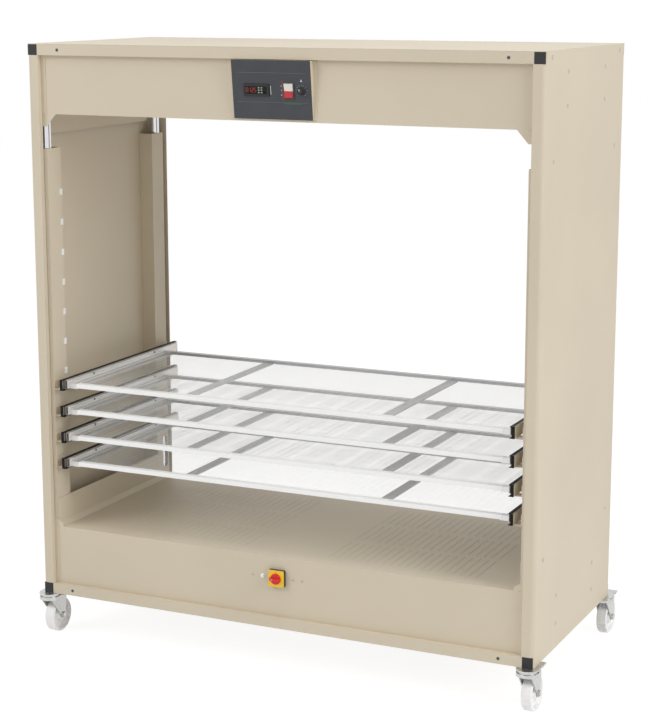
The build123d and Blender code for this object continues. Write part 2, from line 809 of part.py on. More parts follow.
# ================================================================ console
flange_y = apron_y + console_metal         # front of the flange, before the cabinet's middle
toe_y = flange_y + console_toe
fascia_plane = Plane(
    (console_x, body_y - toe_y - console_lean / 2, (console_bottom_z + console_top_z) / 2),
    x_dir=(1, 0, 0),
    z_dir=(0, -console_height, -console_lean),
)
fascia_half = console_height / 2 / cos(lean * pi / 180)
fascia_face = fascia_plane.offset(fascia_thickness)
display_cut_width = display_width - 2 * display_rim
display_cut_height = display_height - 2 * display_rim

with BuildPart() as console_housing:
    with BuildSketch(facing_front(-apron_y)):
        box_sketch(
            console_x - console_half - console_flange, console_x + console_half + console_flange,
            console_bottom_z, console_top_z,
        )
    extrude(amount=console_metal)
    with BuildSketch(facing_right(console_x - console_half)):
        with BuildLine():
            Polyline(
                (-flange_y, console_bottom_z), (-toe_y, console_bottom_z),
                (-toe_y - console_lean, console_top_z), (-flange_y, console_top_z), close=True,
            )
        make_face()
    extrude(amount=2 * console_half)
    with BuildSketch(facing_front(-apron_y)):
        box_sketch(
            console_x - console_half + sheet, console_x + console_half - sheet,
            console_bottom_z + 2 * sheet, console_top_z - sheet,
        )
    extrude(amount=console_metal + console_toe + console_lean, mode=Mode.SUBTRACT)
console_housing.part.label = "console_housing"
export_step(console_housing.part, "parts/console_housing.step")

with BuildPart() as console_plate:
    with BuildSketch(fascia_plane):
        Rectangle(2 * console_half, 2 * fascia_half)
        with Locations((display_x, control_rise)):
            Rectangle(display_cut_width + 2 * gap, display_cut_height + 2 * gap, mode=Mode.SUBTRACT)
        with Locations((rocker_x, control_rise)):
            Rectangle(
                rocker_width + 2 * rocker_clear, 2 * (rocker_radius + rocker_clear),
                mode=Mode.SUBTRACT,
            )
        with Locations((knob_x, control_rise)):
            Circle(knob_shaft_dia / 2 + running_fit, mode=Mode.SUBTRACT)
    extrude(amount=fascia_thickness)
    with BuildSketch(fascia_face):
        with Locations((rocker_x, control_rise)):
            RectangleRounded(
                rocker_width + 2 * rocker_rim, 2 * (rocker_radius + rocker_rim), rocker_rim / 2
            )
            Rectangle(
                rocker_width + 2 * rocker_clear, 2 * (rocker_radius + rocker_clear),
                mode=Mode.SUBTRACT,
            )
    extrude(amount=rocker_rim_proud)
console_plate.part.label = "console_plate"
export_step(console_plate.part, "parts/console_plate.step")

with BuildPart() as display_module:
    with BuildSketch(fascia_face):
        with Locations((display_x, control_rise)):
            RectangleRounded(display_width, display_height, display_rim)
    extrude(amount=display_proud, taper=8)
    with BuildSketch(fascia_face):
        with Locations((display_x, control_rise)):
            Rectangle(display_cut_width, display_cut_height)
    extrude(amount=-display_depth)
display_module.part.label = "display_module"
export_step(display_module.part, "parts/display_module.step")

# The rocker turns about an axis in the fascia's face, so its round ends keep their gap.
rocker_plane = Plane(
    fascia_face.from_local_coords((rocker_x - rocker_width / 2, control_rise, 0)),
    x_dir=fascia_face.z_dir,
    z_dir=(1, 0, 0),
)
with BuildPart() as console_rocker:
    with BuildSketch(rocker_plane):
        Circle(rocker_radius)
        with BuildLine(mode=Mode.PRIVATE) as rocker_front:
            Polyline(
                (rocker_proud + 2, -rocker_radius - 1), (rocker_proud - 1, 0),
                (rocker_proud + 2, rocker_radius + 1), (-rocker_back, rocker_radius + 1),
                (-rocker_back, -rocker_radius - 1), close=True,
            )
        make_face(rocker_front.edges(), mode=Mode.INTERSECT)
    extrude(amount=rocker_width)
console_rocker.part.label = "console_rocker"
export_step(console_rocker.part, "parts/console_rocker.step")

with BuildPart() as console_knob:
    with BuildSketch(fascia_face.offset(gap)):
        with Locations((knob_x, control_rise)):
            Circle(knob_dia / 2)
    extrude(amount=knob_height, taper=5)
    with BuildSketch(fascia_face.offset(gap + knob_height / 2)):
        with Locations((knob_x, control_rise + knob_dia / 4)):
            Rectangle(2, knob_dia / 2)
    extrude(amount=knob_height / 2 + 1)
    with BuildSketch(fascia_face.offset(gap)):
        with Locations((knob_x, control_rise)):
            Circle(knob_shaft_dia / 2)
    extrude(amount=-knob_shaft_length)
console_knob.part.label = "console_knob"
export_step(console_knob.part, "parts/console_knob.step")

# ================================================================ main switch and lamp
switch_front_y = apron_y + switch_base + switch_plate

with BuildPart() as main_switch_base:
    with BuildSketch(facing_front(-apron_y)):
        with Locations((switch_x, switch_z)):
            RectangleRounded(switch_side, switch_side, 3)
    extrude(amount=switch_base)
    with BuildSketch(facing_front(-apron_y - switch_base)):
        with Locations((switch_x, switch_z)):
            RectangleRounded(switch_side - 1, switch_side - 1, 3)
    extrude(amount=switch_plate)
    with BuildSketch(facing_front(-apron_y + switch_neck)):
        with Locations((switch_x, switch_z)):
            Circle(switch_neck_dia / 2)
    extrude(amount=switch_neck)
    with BuildSketch(facing_front(-switch_front_y + switch_shaft)):
        with Locations((switch_x, switch_z)):
            Circle(switch_shaft_dia / 2 + running_fit)
    extrude(amount=switch_shaft, mode=Mode.SUBTRACT)
main_switch_base.part.label = "main_switch_base"
export_step(main_switch_base.part, "parts/main_switch_base.step")

with BuildPart() as main_switch_knob:
    with BuildSketch(facing_front(-switch_front_y - gap)):
        with Locations((switch_x, switch_z)):
            Circle(switch_knob_dia / 2)
    extrude(amount=switch_knob_height, taper=8)
    with BuildSketch(facing_front(-switch_front_y - gap - switch_knob_height / 2)):
        with Locations((switch_x, switch_z)):
            SlotOverall(switch_knob_dia, switch_grip_width)
    extrude(amount=switch_knob_height / 2 + switch_grip_height, taper=4)
    with BuildSketch(facing_front(-switch_front_y - gap)):
        with Locations((switch_x, switch_z)):
            Circle(switch_shaft_dia / 2)
    extrude(amount=-(switch_shaft - 2))
main_switch_knob.part.label = "main_switch_knob"
export_step(main_switch_knob.part, "parts/main_switch_knob.step")

with BuildPart() as pilot_lamp:
    with BuildSketch(facing_front(-apron_y)):
        with Locations((lamp_x, switch_z)):
            Circle(lamp_dia / 2)
    extrude(amount=lamp_rim, taper=15)
    with BuildSketch(facing_front(-apron_y - lamp_rim)):
        with Locations((lamp_x, switch_z)):
            Circle(lamp_lens_dia / 2)
    extrude(amount=lamp_dome, taper=28)
    with BuildSketch(facing_front(-apron_y + lamp_neck)):
        with Locations((lamp_x, switch_z)):
            Circle(lamp_lens_dia / 2)
    extrude(amount=lamp_neck)
pilot_lamp.part.label = "pilot_lamp"
export_step(pilot_lamp.part, "parts/pilot_lamp.step")

# ================================================================ castors
plate_z = castor_height - castor_plate_thickness
race_z = plate_z - race_height
crown_z = race_z - crown_play - crown_height
leg_inner = wheel_width / 2 + leg_play
leg_outer = leg_inner + leg_metal
pin_y = trail + pedal_pin_back
pin_z = wheel_radius + pedal_pin_up

with BuildPart() as castor_plates:
    with BuildSketch(level(plate_z)):
        with Locations((tube_x, kingpin_y)):
            Circle(castor_plate_width / 2)
        box_sketch(
            tube_x - castor_plate_width / 2, tube_x + castor_plate_width / 2,
            kingpin_y - castor_plate_tail, kingpin_y,
        )
        mirror(about=Plane.XZ)
        mirror(about=Plane.YZ)
    extrude(amount=castor_plate_thickness)
    with BuildSketch(level(plate_z - plate_bolt_head)):
        with GridLocations(2 * tube_x, 2 * (kingpin_y - plate_bolt_back), 2, 2):
            RegularPolygon(plate_bolt_dia / 2, 6)
    extrude(amount=plate_bolt_head)
    with BuildSketch(level(race_z)):
        with GridLocations(2 * tube_x, 2 * kingpin_y, 2, 2):
            Circle(race_dia / 2)
    extrude(amount=race_height)
    with BuildSketch(level(crown_z - crown_play - kingpin_nut)):
        with GridLocations(2 * tube_x, 2 * kingpin_y, 2, 2):
            Circle(kingpin_dia / 2)
    extrude(amount=race_z - (crown_z - crown_play - kingpin_nut))
    with BuildSketch(level(crown_z - crown_play - kingpin_nut)):
        with GridLocations(2 * tube_x, 2 * kingpin_y, 2, 2):
            RegularPolygon(kingpin_dia * 0.8, 6)
    extrude(amount=kingpin_nut)
castor_plates.part.label = "castor_plates"
export_step(castor_plates.part, "parts/castor_plates.step")


def castor_side(x, kingpin_along):
    """Plane along a castor's own depth: kingpin at 0, wheel towards the cabinet's back."""
    return Plane((x, body_y + kingpin_along, 0), x_dir=(0, 1, 0), z_dir=(1, 0, 0))


def castor_fork(x, along):
    """Pressed fork: round crown, two legs swept back to the axle, and ears for the pedal."""
    with BuildPart() as fork:
        with BuildSketch(Plane((x, body_y + along, crown_z))):
            Circle(crown_dia / 2)
        extrude(amount=crown_height, taper=4)
        with BuildSketch(castor_side(x - leg_outer, along)):
            with BuildLine():
                Polyline(
                    (-leg_top_width / 2, crown_z + crown_height / 2),
                    (trail - leg_bottom_width / 2, wheel_radius),
                    (trail + leg_bottom_width / 2, wheel_radius),
                    (pin_y + pedal_boss_dia / 2, pin_z - pedal_boss_dia / 2),
                    (pin_y + pedal_boss_dia / 2, pin_z),
                    (leg_top_width / 2, crown_z + crown_height / 2),
                    close=True,
                )
            make_face()
            with Locations((trail, wheel_radius)):
                Circle(leg_bottom_width / 2)
            with Locations((pin_y, pin_z)):
                Circle(pedal_boss_dia / 2)
        extrude(amount=2 * leg_outer)
        with BuildSketch(castor_side(x - leg_inner, along)):
            box_sketch(-crown_dia, pin_y + pedal_boss_dia, wheel_radius - leg_bottom_width, crown_z)
        extrude(amount=2 * leg_inner, mode=Mode.SUBTRACT)
        with BuildSketch(castor_side(x - leg_inner, along)):
            box_sketch(leg_top_width / 2 + leg_metal, pin_y + pedal_boss_dia, crown_z, base_z)
        extrude(amount=2 * leg_inner, mode=Mode.SUBTRACT)
        with BuildSketch(castor_side(x - leg_outer, along)):
            with Locations((trail, wheel_radius)):
                Circle(axle_dia / 2 + running_fit)
            with Locations((pin_y, pin_z)):
                Circle(pedal_pin_dia / 2 + running_fit)
        extrude(amount=2 * leg_outer, mode=Mode.SUBTRACT)
        with BuildSketch(Plane((x, body_y + along, crown_z))):
            Circle(kingpin_dia / 2 + running_fit)
        extrude(amount=crown_height, mode=Mode.SUBTRACT)
        with BuildSketch(castor_side(x - leg_outer - axle_head, along)):
            with Locations((trail, wheel_radius)):
                Circle(axle_dia / 2)
        extrude(amount=2 * (leg_outer + axle_head))
        for head_x in (x - leg_outer - axle_head, x + leg_outer + gap / 2):
            with BuildSketch(castor_side(head_x, along)):
                with Locations((trail, wheel_radius)):
                    RegularPolygon(axle_head_dia / 2, 6)
            extrude(amount=axle_head - gap / 2)
    return fork.part


def castor_wheel(x, along):
    """Nylon wheel: tread with bevelled edges, thin web, long hub bored for the axle."""
    with BuildPart() as wheel:
        axle_plane = Plane(
            (x, body_y + along + trail, wheel_radius), x_dir=(1, 0, 0), z_dir=(0, -1, 0)
        )
        bore = axle_dia / 2 + running_fit
        half = wheel_width / 2
        tread = wheel_radius - wheel_crown
        rim = tread - wheel_rim
        web = wheel_web / 2
        hub = wheel_hub_dia / 2
        with BuildSketch(axle_plane):
            with BuildLine():
                Polyline(
                    (0, wheel_radius), (half - wheel_crown, wheel_radius), (half, tread),
                    (half, rim), (web, rim - wheel_crown), (web, hub + wheel_crown),
                    (half, hub), (half, bore), (0, bore),
                )
                mirror(about=Plane.YZ)
            make_face()
        revolve(axis=Axis((x, body_y + along + trail, wheel_radius), (1, 0, 0)))
    return wheel.part


def castor_pedal(x, along):
    """Brake pedal: pin between the fork's ears and a dished tread behind them."""
    with BuildPart() as pedal:
        with BuildSketch(castor_side(x - leg_inner + gap, along)):
            with Locations((pin_y, pin_z)):
                Circle(pedal_boss_dia / 2 - 1)
        extrude(amount=2 * (leg_inner - gap))
        with BuildSketch(castor_side(x - leg_outer, along)):
            with Locations((pin_y, pin_z)):
                Circle(pedal_pin_dia / 2)
        extrude(amount=2 * leg_outer)
        with BuildSketch(castor_side(x - leg_inner + gap, along)):
            with BuildLine():
                Polyline(
                    (pin_y, pin_z - pedal_metal / 2), (pin_y + pedal_length / 2, pin_z + pedal_rise / 3),
                    (pin_y + pedal_length, pin_z + pedal_rise - pedal_metal),
                    (pin_y + pedal_length, pin_z + pedal_rise),
                    (pin_y + pedal_length / 2, pin_z + pedal_rise / 3 + pedal_metal),
                    (pin_y, pin_z + pedal_metal / 2), close=True,
                )
            make_face()
        extrude(amount=2 * (leg_inner - gap))
        with BuildSketch(castor_side(x - pedal_width / 2, along)):
            with BuildLine():
                Polyline(
                    (pin_y + pedal_length / 2, pin_z + pedal_rise / 3),
                    (pin_y + pedal_length, pin_z + pedal_rise - pedal_metal),
                    (pin_y + pedal_length, pin_z + pedal_rise),
                    (pin_y + pedal_length / 2, pin_z + pedal_rise / 3 + pedal_metal), close=True,
                )
            make_face()
        extrude(amount=pedal_width)
    return pedal.part


castor_spots = [
    (-tube_x, -kingpin_y), (tube_x, -kingpin_y), (-tube_x, kingpin_y), (tube_x, kingpin_y)
]
for number, (castor_x, castor_along) in enumerate(castor_spots, start=1):
    with BuildPart() as fork_piece:
        add(castor_fork(castor_x, castor_along))
    fork_piece.part.label = f"castor_fork_{number}"
    export_step(fork_piece.part, f"parts/castor_fork_{number}.step")

    with BuildPart() as wheel_piece:
        add(castor_wheel(castor_x, castor_along))
    wheel_piece.part.label = f"castor_wheel_{number}"
    export_step(wheel_piece.part, f"parts/castor_wheel_{number}.step")

    with BuildPart() as pedal_piece:
        add(castor_pedal(castor_x, castor_along))
    pedal_piece.part.label = f"brake_pedal_{number}"
    export_step(pedal_piece.part, f"parts/brake_pedal_{number}.step")

# ================================================================ screws
ring_mid = tube_side / 2
side_screws = [                             # behind or before the middle, above the underside
    (half_depth - 48, body_height - sheet - ring_mid), (160, body_height - 56),
    (160, apron_z - base_z + 52), (column_front_y - 58, column_top_z - base_z + 16),
    (160, lower_top_up - 54), (160, tube_side + 40),
    (column_front_y - 46, lower_top_up + 78),
]
rail_screw_x = half_width - rail_screw_inset
rail_screws = [(rail_screw_x, ring_z + ring_mid) for ring_z in (base_z, top_ring_z)]

with BuildPart() as screws:
    with BuildSketch(facing_right(half_width)):
        for screw_y, screw_up in side_screws:
            with Locations((-screw_y, base_z + screw_up), (screw_y, base_z + screw_up)):
                RegularPolygon(screw_dia / 2, 8)
    extrude(amount=screw_proud, taper=30)
    mirror(about=Plane.YZ)
    with BuildSketch(facing_front(-half_depth)):
        with Locations(*rail_screws, *[(-x, z) for x, z in rail_screws]):
            RegularPolygon(screw_dia / 2, 8)
    extrude(amount=screw_proud, taper=30)
    mirror(about=mid_depth)
screws.part.label = "screws"
export_step(screws.part, "parts/screws.step")
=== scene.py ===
"""Tray drying cabinet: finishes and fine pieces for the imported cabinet.

The solids of the cabinet come from the frame.  This script gives each one its finish, adds the
pieces that are too fine for the solids, and sets up the studio.  Lengths are in metres.
"""

from __future__ import annotations

import json
import logging
import math
from dataclasses import dataclass
from enum import Enum
from typing import Iterable, Iterator, Sequence

import bmesh
import bpy
from mathutils import Matrix, Vector


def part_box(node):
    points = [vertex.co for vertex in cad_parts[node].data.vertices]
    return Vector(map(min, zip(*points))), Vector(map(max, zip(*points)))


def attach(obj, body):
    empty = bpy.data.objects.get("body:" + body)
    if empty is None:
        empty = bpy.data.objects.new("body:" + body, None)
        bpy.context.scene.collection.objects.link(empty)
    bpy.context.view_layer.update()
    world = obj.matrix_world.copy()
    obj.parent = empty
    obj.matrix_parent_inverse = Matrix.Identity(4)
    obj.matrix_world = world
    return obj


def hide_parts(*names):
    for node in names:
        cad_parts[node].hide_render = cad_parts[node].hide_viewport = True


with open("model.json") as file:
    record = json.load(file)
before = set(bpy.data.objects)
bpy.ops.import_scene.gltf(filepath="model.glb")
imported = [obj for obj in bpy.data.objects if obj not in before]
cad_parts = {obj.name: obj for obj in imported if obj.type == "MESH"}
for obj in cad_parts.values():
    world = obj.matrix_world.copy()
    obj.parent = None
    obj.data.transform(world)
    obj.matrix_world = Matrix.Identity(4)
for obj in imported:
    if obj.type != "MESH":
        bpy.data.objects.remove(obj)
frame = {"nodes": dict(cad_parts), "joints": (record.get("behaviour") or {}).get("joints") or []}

LOG = logging.getLogger("drying_cabinet")
MM = 0.001
TRAYS = 4
CASTORS = 4

Point = Sequence[float]
Pair = tuple[float, float]
Colour = tuple[float, float, float, float]
Socket = bpy.types.NodeSocket

WHITE: Colour = (1.0, 1.0, 1.0, 1.0)
CORNERS = ((-1, -1), (1, -1), (1, 1), (-1, 1))
X_AXIS, Y_AXIS, Z_AXIS = (Vector(axis) for axis in ((1, 0, 0), (0, 1, 0), (0, 0, 1)))


def paint(red: float, green: float, blue: float) -> Colour:
    """Turn a colour as it looks on a screen into the linear values that shaders take.

    Args:
        red: Red, from 0 to 255.
        green: Green, from 0 to 255.
        blue: Blue, from 0 to 255.

    Returns:
        The linear colour with an alpha of 1.
    """
    linear = []
    for level in (red, green, blue):
        share = level / 255
        linear.append(share / 12.92 if share <= 0.04045 else ((share + 0.055) / 1.055) ** 2.4)
    return (linear[0], linear[1], linear[2], 1.0)


def shades(colour: Colour, shares: Pair) -> tuple[Colour, Colour]:
    """A darker and a lighter version of a colour.

    Args:
        colour: The colour.
        shares: How bright the two are, as shares of the colour.

    Returns:
        The two colours.
    """
    dark, light = (
        (colour[0] * share, colour[1] * share, colour[2] * share, 1.0) for share in shares
    )
    return dark, light


def millimetres(*pairs: Pair) -> tuple[Pair, ...]:
    """Turn pairs of millimetres into metres."""
    return tuple((first * MM, second * MM) for first, second in pairs)


class Side(Enum):
    """Left or right of the cabinet, as seen from the front."""

    LEFT = -1
    RIGHT = 1

    @property
    def word(self) -> str:
        """The side's word in names."""
        return self.name.lower()

    def wall(self, node: str) -> float:
        """Place along X of a node's outermost face on this side."""
        low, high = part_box(node)
        return high.x if self is Side.RIGHT else low.x


# ---------------------------------------------------------------------------- finishes
@dataclass(frozen=True)
class Pattern:
    """Procedural pattern over a surface: fractal noise, or crystal-like cells."""

    scale: float | tuple[float, float, float]  # features per metre, all ways or by axis
    detail: float = 2.0  # octaves of the noise
    cells: bool = False

    @property
    def ends(self) -> Pair:
        """Values between which nearly all of the pattern lies."""
        return (0.0, 1.0) if self.cells else (0.3, 0.7)


class Nodes:
    """A node tree that is filled node by node."""

    def __init__(self, tree: bpy.types.NodeTree) -> None:
        """Empty the tree of a material or a world."""
        self.tree = tree
        tree.nodes.clear()

    def feed(self, socket: Socket, value: Socket | float | Point) -> None:
        """Link an input, or write a constant on it.

        Args:
            socket: The input.
            value: The socket that it is linked to, or the constant.
        """
        if isinstance(value, Socket):
            self.tree.links.new(value, socket)
        else:
            socket.default_value = value

    def add(
        self, kind: str, inputs: dict[str | int, Socket | float | Point] | None = None,
        **settings: str | int,
    ) -> bpy.types.Node:
        """Add a node.

        Args:
            kind: The node's type without its prefix.
            inputs: What goes into its inputs, by name or number.
            **settings: Its own settings.

        Returns:
            The node.
        """
        node = self.tree.nodes.new(f"ShaderNode{kind}")
        for name, value in settings.items():
            setattr(node, name, value)
        for key, value in (inputs or {}).items():
            self.feed(node.inputs[key], value)
        return node

    def combine(self, operation: str, first: Socket, second: Socket | float = 0.0) -> Socket:
        """Number made of one or two others by an operation of the Math node."""
        return self.add("Math", {0: first, 1: second}, operation=operation).outputs["Value"]

    def seen(self) -> Socket:
        """Tell what the lens sees from what only casts light.

        Returns:
            Mask that is 1 for the lens, in reflections and through clear matter.
        """
        rays = self.add("LightPath").outputs
        seen = self.combine("MAXIMUM", rays["Is Camera Ray"], rays["Is Glossy Ray"])
        return self.combine("MAXIMUM", seen, rays["Is Transmission Ray"])


class Shader(Nodes):
    """The node tree of one material, with a principled shader at its end."""

    def __init__(self, name: str) -> None:
        """Start a material.

        Args:
            name: The material's name.
        """
        self.material = bpy.data.materials.new(name)
        self.material.use_nodes = True
        super().__init__(self.material.node_tree)
        self.surface = self.add("BsdfPrincipled")
        self.output = self.add("OutputMaterial", {"Surface": self.surface.outputs["BSDF"]})
        self.place = self.add("TexCoord").outputs["Object"]

    def set(self, **values: Socket | float | Colour) -> None:
        """Feed inputs of the principled shader, named with underscores for spaces."""
        for name, value in values.items():
            self.feed(self.surface.inputs[name.replace("_", " ")], value)

    def pattern(self, pattern: Pattern) -> Socket:
        """Lay a pattern over the surface.

        Args:
            pattern: The pattern.

        Returns:
            Its value.
        """
        if pattern.cells:
            cells = self.add("TexVoronoi", {"Vector": self.place, "Scale": pattern.scale})
            split = self.add("SeparateColor", {"Color": cells.outputs["Color"]})
            return split.outputs["Red"]
        place, scale = self.place, pattern.scale
        if not isinstance(scale, float):
            place = self.add("Mapping", {"Vector": place, "Scale": scale}).outputs["Vector"]
            scale = 1.0
        noise = self.add("TexNoise", {"Vector": place, "Scale": scale, "Detail": pattern.detail})
        return noise.outputs["Fac"]

    def spread(self, factor: Socket, numbers: Pair, ends: Pair) -> Socket:
        """Map a factor onto a range of numbers.

        Args:
            factor: The socket to read.
            numbers: Results at the lower and the upper end.
            ends: Factors at the two ends.

        Returns:
            The mapped value.
        """
        names = ("To Min", "To Max", "From Min", "From Max")
        inputs = {"Value": factor, **dict(zip(names, (*numbers, *ends)))}
        return self.add("MapRange", inputs).outputs["Result"]

    def between(self, factor: Socket, colours: tuple[Colour, Colour], ends: Pair) -> Socket:
        """Colour that runs from one shade to another.

        Args:
            factor: The socket to read.
            colours: Shades at the lower and the upper end.
            ends: Factors at the two ends.

        Returns:
            The colour.
        """
        ramp = self.add("ValToRGB", {"Fac": factor})
        for stop, position, colour in zip(ramp.color_ramp.elements, ends, colours):
            stop.position = position
            stop.color = colour
        return ramp.outputs["Color"]

    def bumps(self, height: Socket, strength: float, distance: float, edge: float = 0.0) -> None:
        """Raise the surface by a height field, with its sharp edges eased.

        Args:
            height: The height field.
            strength: How much of the bump shows, from 0 to 1.
            distance: Height of the field.
            edge: Radius of the eased edges, or 0 for none.
        """
        inputs = {"Strength": strength, "Distance": distance, "Height": height}
        if edge:
            inputs["Normal"] = self.add("Bevel", {"Radius": edge}, samples=4).outputs["Normal"]
        self.set(Normal=self.add("Bump", inputs).outputs["Normal"])

    def along(self, axis: str) -> Socket:
        """Coordinate of the surface along an axis."""
        return self.add("SeparateXYZ", {"Vector": self.place}).outputs[axis]

    def mixed(self, mask: Socket, first: Socket, second: Socket) -> Socket:
        """First colour where a mask is 0, second colour where it is 1."""
        mix = self.add("Mix", {"Factor": mask, 6: first, 7: second}, data_type="RGBA")
        return mix.outputs[2]


@dataclass(frozen=True)
class Finish:
    """Procedural finish: clouded colour, uneven roughness and a fine relief."""

    name: str
    colour: Colour
    roughness: float = 0.45
    metal: float = 0.0  # share of the surface that is bare metal
    gloss: float = 0.5  # specular level
    waxy: float = 0.0  # share of the light that spreads under the surface
    wax_depth: float = 4 * MM  # how far it spreads
    light: Colour | None = None  # light that it gives off
    power: float = 0.0  # strength of that light
    clouds: Pattern = Pattern(45.0)  # pattern of the colour
    shares: Pair = (0.94, 1.03)  # its darkest and lightest shade
    wear: Pattern = Pattern(45.0)  # pattern of the roughness
    swing: Pair = (-0.06, 0.08)  # how far the roughness goes down and up
    relief: Pattern | None = None  # pattern of the relief, where it isn't that of the roughness
    bump: float = 0.3  # how much of the relief shows
    height: float = 0.03 * MM  # height of the relief
    edge: float = 0.5 * MM  # radius of folded, cut and moulded edges

    def build(self) -> bpy.types.Material:
        """Make the material.

        Returns:
            The material, ready to assign.
        """
        shader = Shader(self.name)
        relief = self.relief or self.wear
        kinds = dict.fromkeys((self.clouds, self.wear, relief))
        made = {kind: shader.pattern(kind) for kind in kinds}
        low, high = (self.roughness + step for step in self.swing)
        shader.set(
            Base_Color=shader.between(
                made[self.clouds], shades(self.colour, self.shares), self.clouds.ends
            ),
            Roughness=shader.spread(made[self.wear], (low, high), self.wear.ends),
            Metallic=self.metal, Specular_IOR_Level=self.gloss,
        )
        if self.bump:
            shader.bumps(made[relief], self.bump, self.height, self.edge)
        if self.waxy:
            shader.set(Subsurface_Weight=self.waxy, Subsurface_Scale=self.wax_depth)
        if self.light:
            shader.set(Emission_Color=self.light, Emission_Strength=self.power)
        return shader.material


@dataclass(frozen=True)
class PowderCoat(Finish):
    """Satin powder coat on sheet steel, with its fine orange peel."""

    roughness: float = 0.48
    gloss: float = 0.4
    clouds: Pattern = Pattern(2.2, 3.0)
    shares: Pair = (0.965, 1.035)
    wear: Pattern = Pattern(650.0)
    swing: Pair = (-0.05, 0.07)
    bump: float = 0.35
    height: float = 0.06 * MM
    edge: float = 0.9 * MM


@dataclass(frozen=True)
class RolledZinc(Finish):
    """Zinc on rolled or pressed steel, with grain and a soft spangle under pale passivation."""

    roughness: float = 0.34
    metal: float = 1.0
    clouds: Pattern = Pattern(220.0, cells=True)
    shares: Pair = (0.9, 1.07)
    wear: Pattern = Pattern((900.0, 14.0, 900.0), 3.0)
    swing: Pair = (-0.09, 0.12)
    bump: float = 0.25
    height: float = 0.04 * MM
    edge: float = 0.6 * MM


@dataclass(frozen=True)
class Chrome(Finish):
    """Chromed tube with faint wiping marks."""

    roughness: float = 0.05
    metal: float = 1.0
    clouds: Pattern = Pattern((60.0, 60.0, 9.0), 4.0)
    shares: Pair = (0.95, 1.0)
    wear: Pattern = Pattern((60.0, 60.0, 9.0), 4.0)
    swing: Pair = (0.0, 0.15)
    bump: float = 0.0


@dataclass(frozen=True)
class Plastic(Finish):
    """Moulded plastic with a fine eroded texture."""

    relief: Pattern = Pattern(2600.0)


@dataclass(frozen=True)
class WovenThread(Finish):
    """Polyester monofilament of the drying nets."""

    roughness: float = 0.42
    waxy: float = 0.2
    wax_depth: float = 1 * MM
    clouds: Pattern = Pattern(900.0)
    shares: Pair = (0.97, 1.0)
    wear: Pattern = Pattern(900.0)
    swing: Pair = (0.0, 0.18)
    height: float = 0.05 * MM
    edge: float = 0.0


@dataclass(frozen=True)
class PrintedFilm(Finish):
    """Satin printed film over the fascia."""

    roughness: float = 0.34
    clouds: Pattern = Pattern(22.0)
    shares: Pair = (0.92, 1.08)
    wear: Pattern = Pattern(1800.0)
    swing: Pair = (0.0, 0.16)
    edge: float = 0.8 * MM


@dataclass(frozen=True)
class Glow(Finish):
    """A lit segment or lens."""

    roughness: float = 0.2
    clouds: Pattern = Pattern(900.0, cells=True)
    shares: Pair = (0.85, 1.0)
    wear: Pattern = Pattern(900.0, cells=True)
    swing: Pair = (0.0, 0.18)
    bump: float = 0.0


@dataclass(frozen=True)
class TwoTone:
    """One moulding or section in two colours that meet at a plane across an axis."""

    name: str
    axis: str
    limit: float  # where the plane is
    low: Colour  # colour below the plane
    high: Colour  # colour above the plane
    roughness: float
    metal: float = 0.0  # share of the surface above the plane that is bare metal
    half: float = 0.0  # distance from the middle beyond which the colour above stands, or 0
    either: bool = True  # whether the plane or that distance is enough for that colour
    # Where the tray frames use the colour beyond that distance, it is a painted highlight: a
    # lighter copy of their own zinc.
    rim: Colour | None = None  # colour beyond that distance, where it is another one
    gloss: float = 0.5  # specular level
    grain: Pattern = Pattern((700.0, 18.0, 700.0), 3.0)
    low_shares: Pair = (0.95, 1.04)  # darkest and lightest shade of each colour
    high_shares: Pair = (0.93, 1.05)
    rim_shares: Pair = (0.94, 1.03)
    swing: Pair = (-0.06, 0.1)  # how far the roughness goes down and up
    bump: float = 0.2  # how much of the relief shows
    height: float = 0.03 * MM  # height of the relief
    edge: float = 0.5 * MM  # radius of cut and moulded edges

    def build(self) -> bpy.types.Material:
        """Make the material.

        Returns:
            The material, ready to assign.
        """
        both = Shader(self.name)
        grain, ends = both.pattern(self.grain), self.grain.ends
        mask = both.combine("GREATER_THAN", both.along(self.axis), self.limit)
        lower = both.between(grain, shades(self.low, self.low_shares), ends)
        upper = both.between(grain, shades(self.high, self.high_shares), ends)
        if self.half:
            reach = both.combine("ABSOLUTE", both.along("X"))
            outside = both.combine("GREATER_THAN", reach, self.half)
            mask = both.combine("MAXIMUM" if self.either else "MINIMUM", mask, outside)
            if self.rim:
                rim = both.between(grain, shades(self.rim, self.rim_shares), ends)
                upper = both.mixed(outside, upper, rim)
        low, high = (self.roughness + step for step in self.swing)
        both.set(
            Base_Color=both.mixed(mask, lower, upper),
            Roughness=both.spread(grain, (low, high), ends), Specular_IOR_Level=self.gloss,
        )
        if self.metal:
            both.set(Metallic=both.combine("MULTIPLY", mask, self.metal))
        both.bumps(grain, self.bump, self.height, self.edge)
        return both.material


